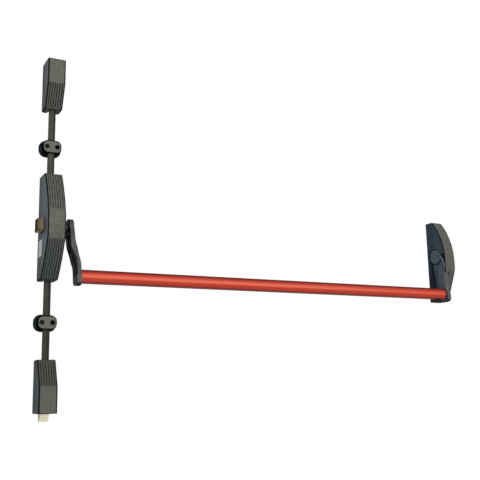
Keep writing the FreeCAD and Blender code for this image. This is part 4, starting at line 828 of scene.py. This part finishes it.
def red_coat_finish():
    coat = Surface("red_powder_coat", coat=0.14, coat_roughness=0.2, specular=0.0)
    peel = coat.noise(420.0, 2.0, 0.45)
    streak = coat.noise(40.0, 3.0, 0.55, stretch=(0.05, 1.0, 1.0))
    height = coat.along("Z") - bar_middle
    tone = coat.mix(coat.ramp(streak, 0.3, 0.75), red_bright, red_deep)
    # Painted highlight along the front, then painted shade on the strips, the underside, the end and its
    # corners.
    highlight_band = coat.between(height, *highlight_height) * coat.ramp(coat.along("X"), *highlight_fades_x)
    tone = coat.mix(highlight_band * 0.66, tone, red_highlight)
    tone = coat.mix(coat.ramp(height, *lower_strip) * 0.75, tone, red_lower_shade)
    tone = coat.mix(coat.ramp(height, *upper_strip) * 0.85, tone, red_upper_shade)
    tone = coat.mix(coat.ramp(coat.facing("Z"), -0.35, -0.9) * 0.6, tone, red_underside_shade)
    to_end = coat.along("X") - bar_end
    tone = coat.mix(coat.ramp(to_end, *end_shade) * 0.9, tone, red_end_shade)
    past_corner = coat.math("MAXIMUM", to_end + end_corner_x, 0.0) ** 2
    past_corner = past_corner + coat.math("MAXIMUM", abs(height) - end_corner_z, 0.0) ** 2
    corner = coat.ramp(past_corner, end_corner_round[0] ** 2, end_corner_round[1] ** 2)
    tone = coat.mix(corner * coat.ramp(to_end, *end_corner_from) * 0.9, tone, end_corner_shade)
    return coat.finish(tone, streak * 0.1 + 0.3, [(0.00006, peel)])


dress(red_coat_finish(), "push_bar")


# Screws. Small steel screws in black oxide that hold the covers, guides, arms and bar. The heads at
# the left of the guides have a painted highlight on their fronts.

left_heads_x = (-0.016, -0.007)
oxide_black = rgb(3, 3, 4)
oxide_worn = rgb(16, 17, 18)
oxide_lit = rgb(48, 49, 46)


def screw_finish():
    oxide = Surface("black_oxide", specular=0.0)
    wear = oxide.noise(800.0, 3.0, 0.6)
    tone = oxide.mix(oxide.ramp(wear, 0.55, 0.75) * 0.5, oxide_black, oxide_worn)
    # Painted highlight on the fronts of the heads left of the guides.
    left_heads = oxide.ramp(oxide.facing("Y") ** 2, 0.6, 0.9) * oxide.between(oxide.along("X"), *left_heads_x)
    tone = oxide.mix(left_heads * 0.7, tone, oxide_lit)
    return oxide.finish(tone, wear * 0.2 + 0.32, [(0.00003, wear)])


dress(screw_finish(), "centre_cover_screws", "top_cover_screws", "bottom_cover_screws", "upper_guide_screws",
      "lower_guide_screws", "bar_screws", "arm_grub_screws", "far_cover_screws")


# Floor and light. A pale floor a metre below, white all round for the camera, a wide soft light
# in front and above, and a cooler one at the left.

floor_middle = (0.5, 0.0)
floor_depth = -1.05
floor_size = 60.0
fade_start = 2.2
fade_end = 3.4
floor_pale = rgb(244, 244, 244)
floor_paler = rgb(250, 250, 250)
white_rays = ("Is Camera Ray", "Is Glossy Ray", "Is Transmission Ray")
plain_white = (1.0, 1.0, 1.0, 1.0)
sky_colour = (0.72, 0.90, 1.0, 1.0)
sky_strength = 0.32


def seen_ray(tree):
    """One for the rays that should meet the plain white background."""
    camera, glossy, through = [tree.node("ShaderNodeLightPath", {}, {}, rays) for rays in white_rays]
    return (camera + glossy + through).clamped()


def backdrop_finish():
    """Pale floor paint that holds a soft shadow under the object and ends in plain white."""
    floor = Surface("pale_floor", specular=0.0)
    paint = floor.finish(floor.mix(floor.noise(3.0, 3.0, 0.5), floor_pale, floor_paler), 0.8, [])
    reach = floor.node("ShaderNodeVectorMath", {"operation": "LENGTH"}, {0: floor.place()}, "Value")
    share = seen_ray(floor) * (floor.ramp(reach, fade_start, fade_end) * 0.45 + 0.55)
    white = floor.node("ShaderNodeEmission", {}, {"Strength": 1.0})
    painted = Value(floor, floor.shader.outputs[0])
    either = floor.node("ShaderNodeMixShader", {}, {0: share, 1: painted, 2: white})
    floor.feed(floor.nodes["Material Output"].inputs["Surface"], either)
    return paint


def studio_floor():
    bpy.ops.object.select_all(action="DESELECT")
    bpy.ops.mesh.primitive_plane_add(size=floor_size, location=(*floor_middle, floor_depth))
    floor = bpy.context.object
    floor.name = "studio_floor"
    floor.data.materials.append(backdrop_finish())


def studio_world():
    """Soft light from all round, and plain white where the camera or a mirror looks past the object."""
    world = bpy.data.worlds.new("studio")
    bpy.context.scene.world = world
    sky = Tree(world)
    sky.nodes.clear()
    soft = sky.node("ShaderNodeBackground", {}, {"Color": sky_colour, "Strength": sky_strength})
    white = sky.node("ShaderNodeBackground", {}, {"Color": plain_white})
    either = sky.node("ShaderNodeMixShader", {}, {0: seen_ray(sky), 1: soft, 2: white})
    sky.feed(sky.nodes.new("ShaderNodeOutputWorld").inputs["Surface"], either)


def area_light(name, place, target, size, power, colour):
    lamp = bpy.data.lights.new(name, "AREA")
    lamp.shape = "RECTANGLE"
    lamp.size, lamp.size_y = size
    lamp.energy = power
    lamp.color = colour
    holder = bpy.data.objects.new(name, lamp)
    bpy.context.scene.collection.objects.link(holder)
    holder.location = place
    holder.rotation_euler = (Vector(target) - Vector(place)).to_track_quat("-Z", "Y").to_euler()


studio_floor()
studio_world()
area_light("front_softbox", (0.5, -2.6, 0.9), (0.5, 0.0, 0.0), (4.6, 0.5), 80.0, (1.0, 0.975, 0.92))
area_light("left_softbox", (-1.1, -0.12, 0.5), (0.0, 0.0, 0.1), (0.3, 0.8), 4.6, (0.9, 0.95, 1.0))
bpy.context.scene.view_settings.view_transform = "Standard"


# Camera. It stands left of the case and a little low, turned towards the far end of the bar.
# Its place, turn and lens were fitted to the straight edges of the object.

camera_place = Vector((-0.40340, -1.71071, -0.35247))
camera_turn = math.radians(27.631)
camera_lift = math.radians(10.652)
camera_roll = math.radians(-1.041)
camera_lens = 57.65
camera_sensor = 36.0

ahead = Vector((math.sin(camera_turn) * math.cos(camera_lift), math.cos(camera_turn) * math.cos(camera_lift),
                math.sin(camera_lift)))
level_right = Vector((math.cos(camera_turn), -math.sin(camera_turn), 0.0))
level_up = level_right.cross(ahead)
right = level_right * math.cos(camera_roll) + level_up * math.sin(camera_roll)
up = level_up * math.cos(camera_roll) - level_right * math.sin(camera_roll)
camera = bpy.data.objects.new("camera", bpy.data.cameras.new("camera"))
bpy.context.scene.collection.objects.link(camera)
camera.data.lens = camera_lens
camera.data.sensor_width = camera_sensor
camera.matrix_world = Matrix.Translation(camera_place) @ Matrix((right, up, -ahead)).transposed().to_4x4()
bpy.context.scene.camera = camera
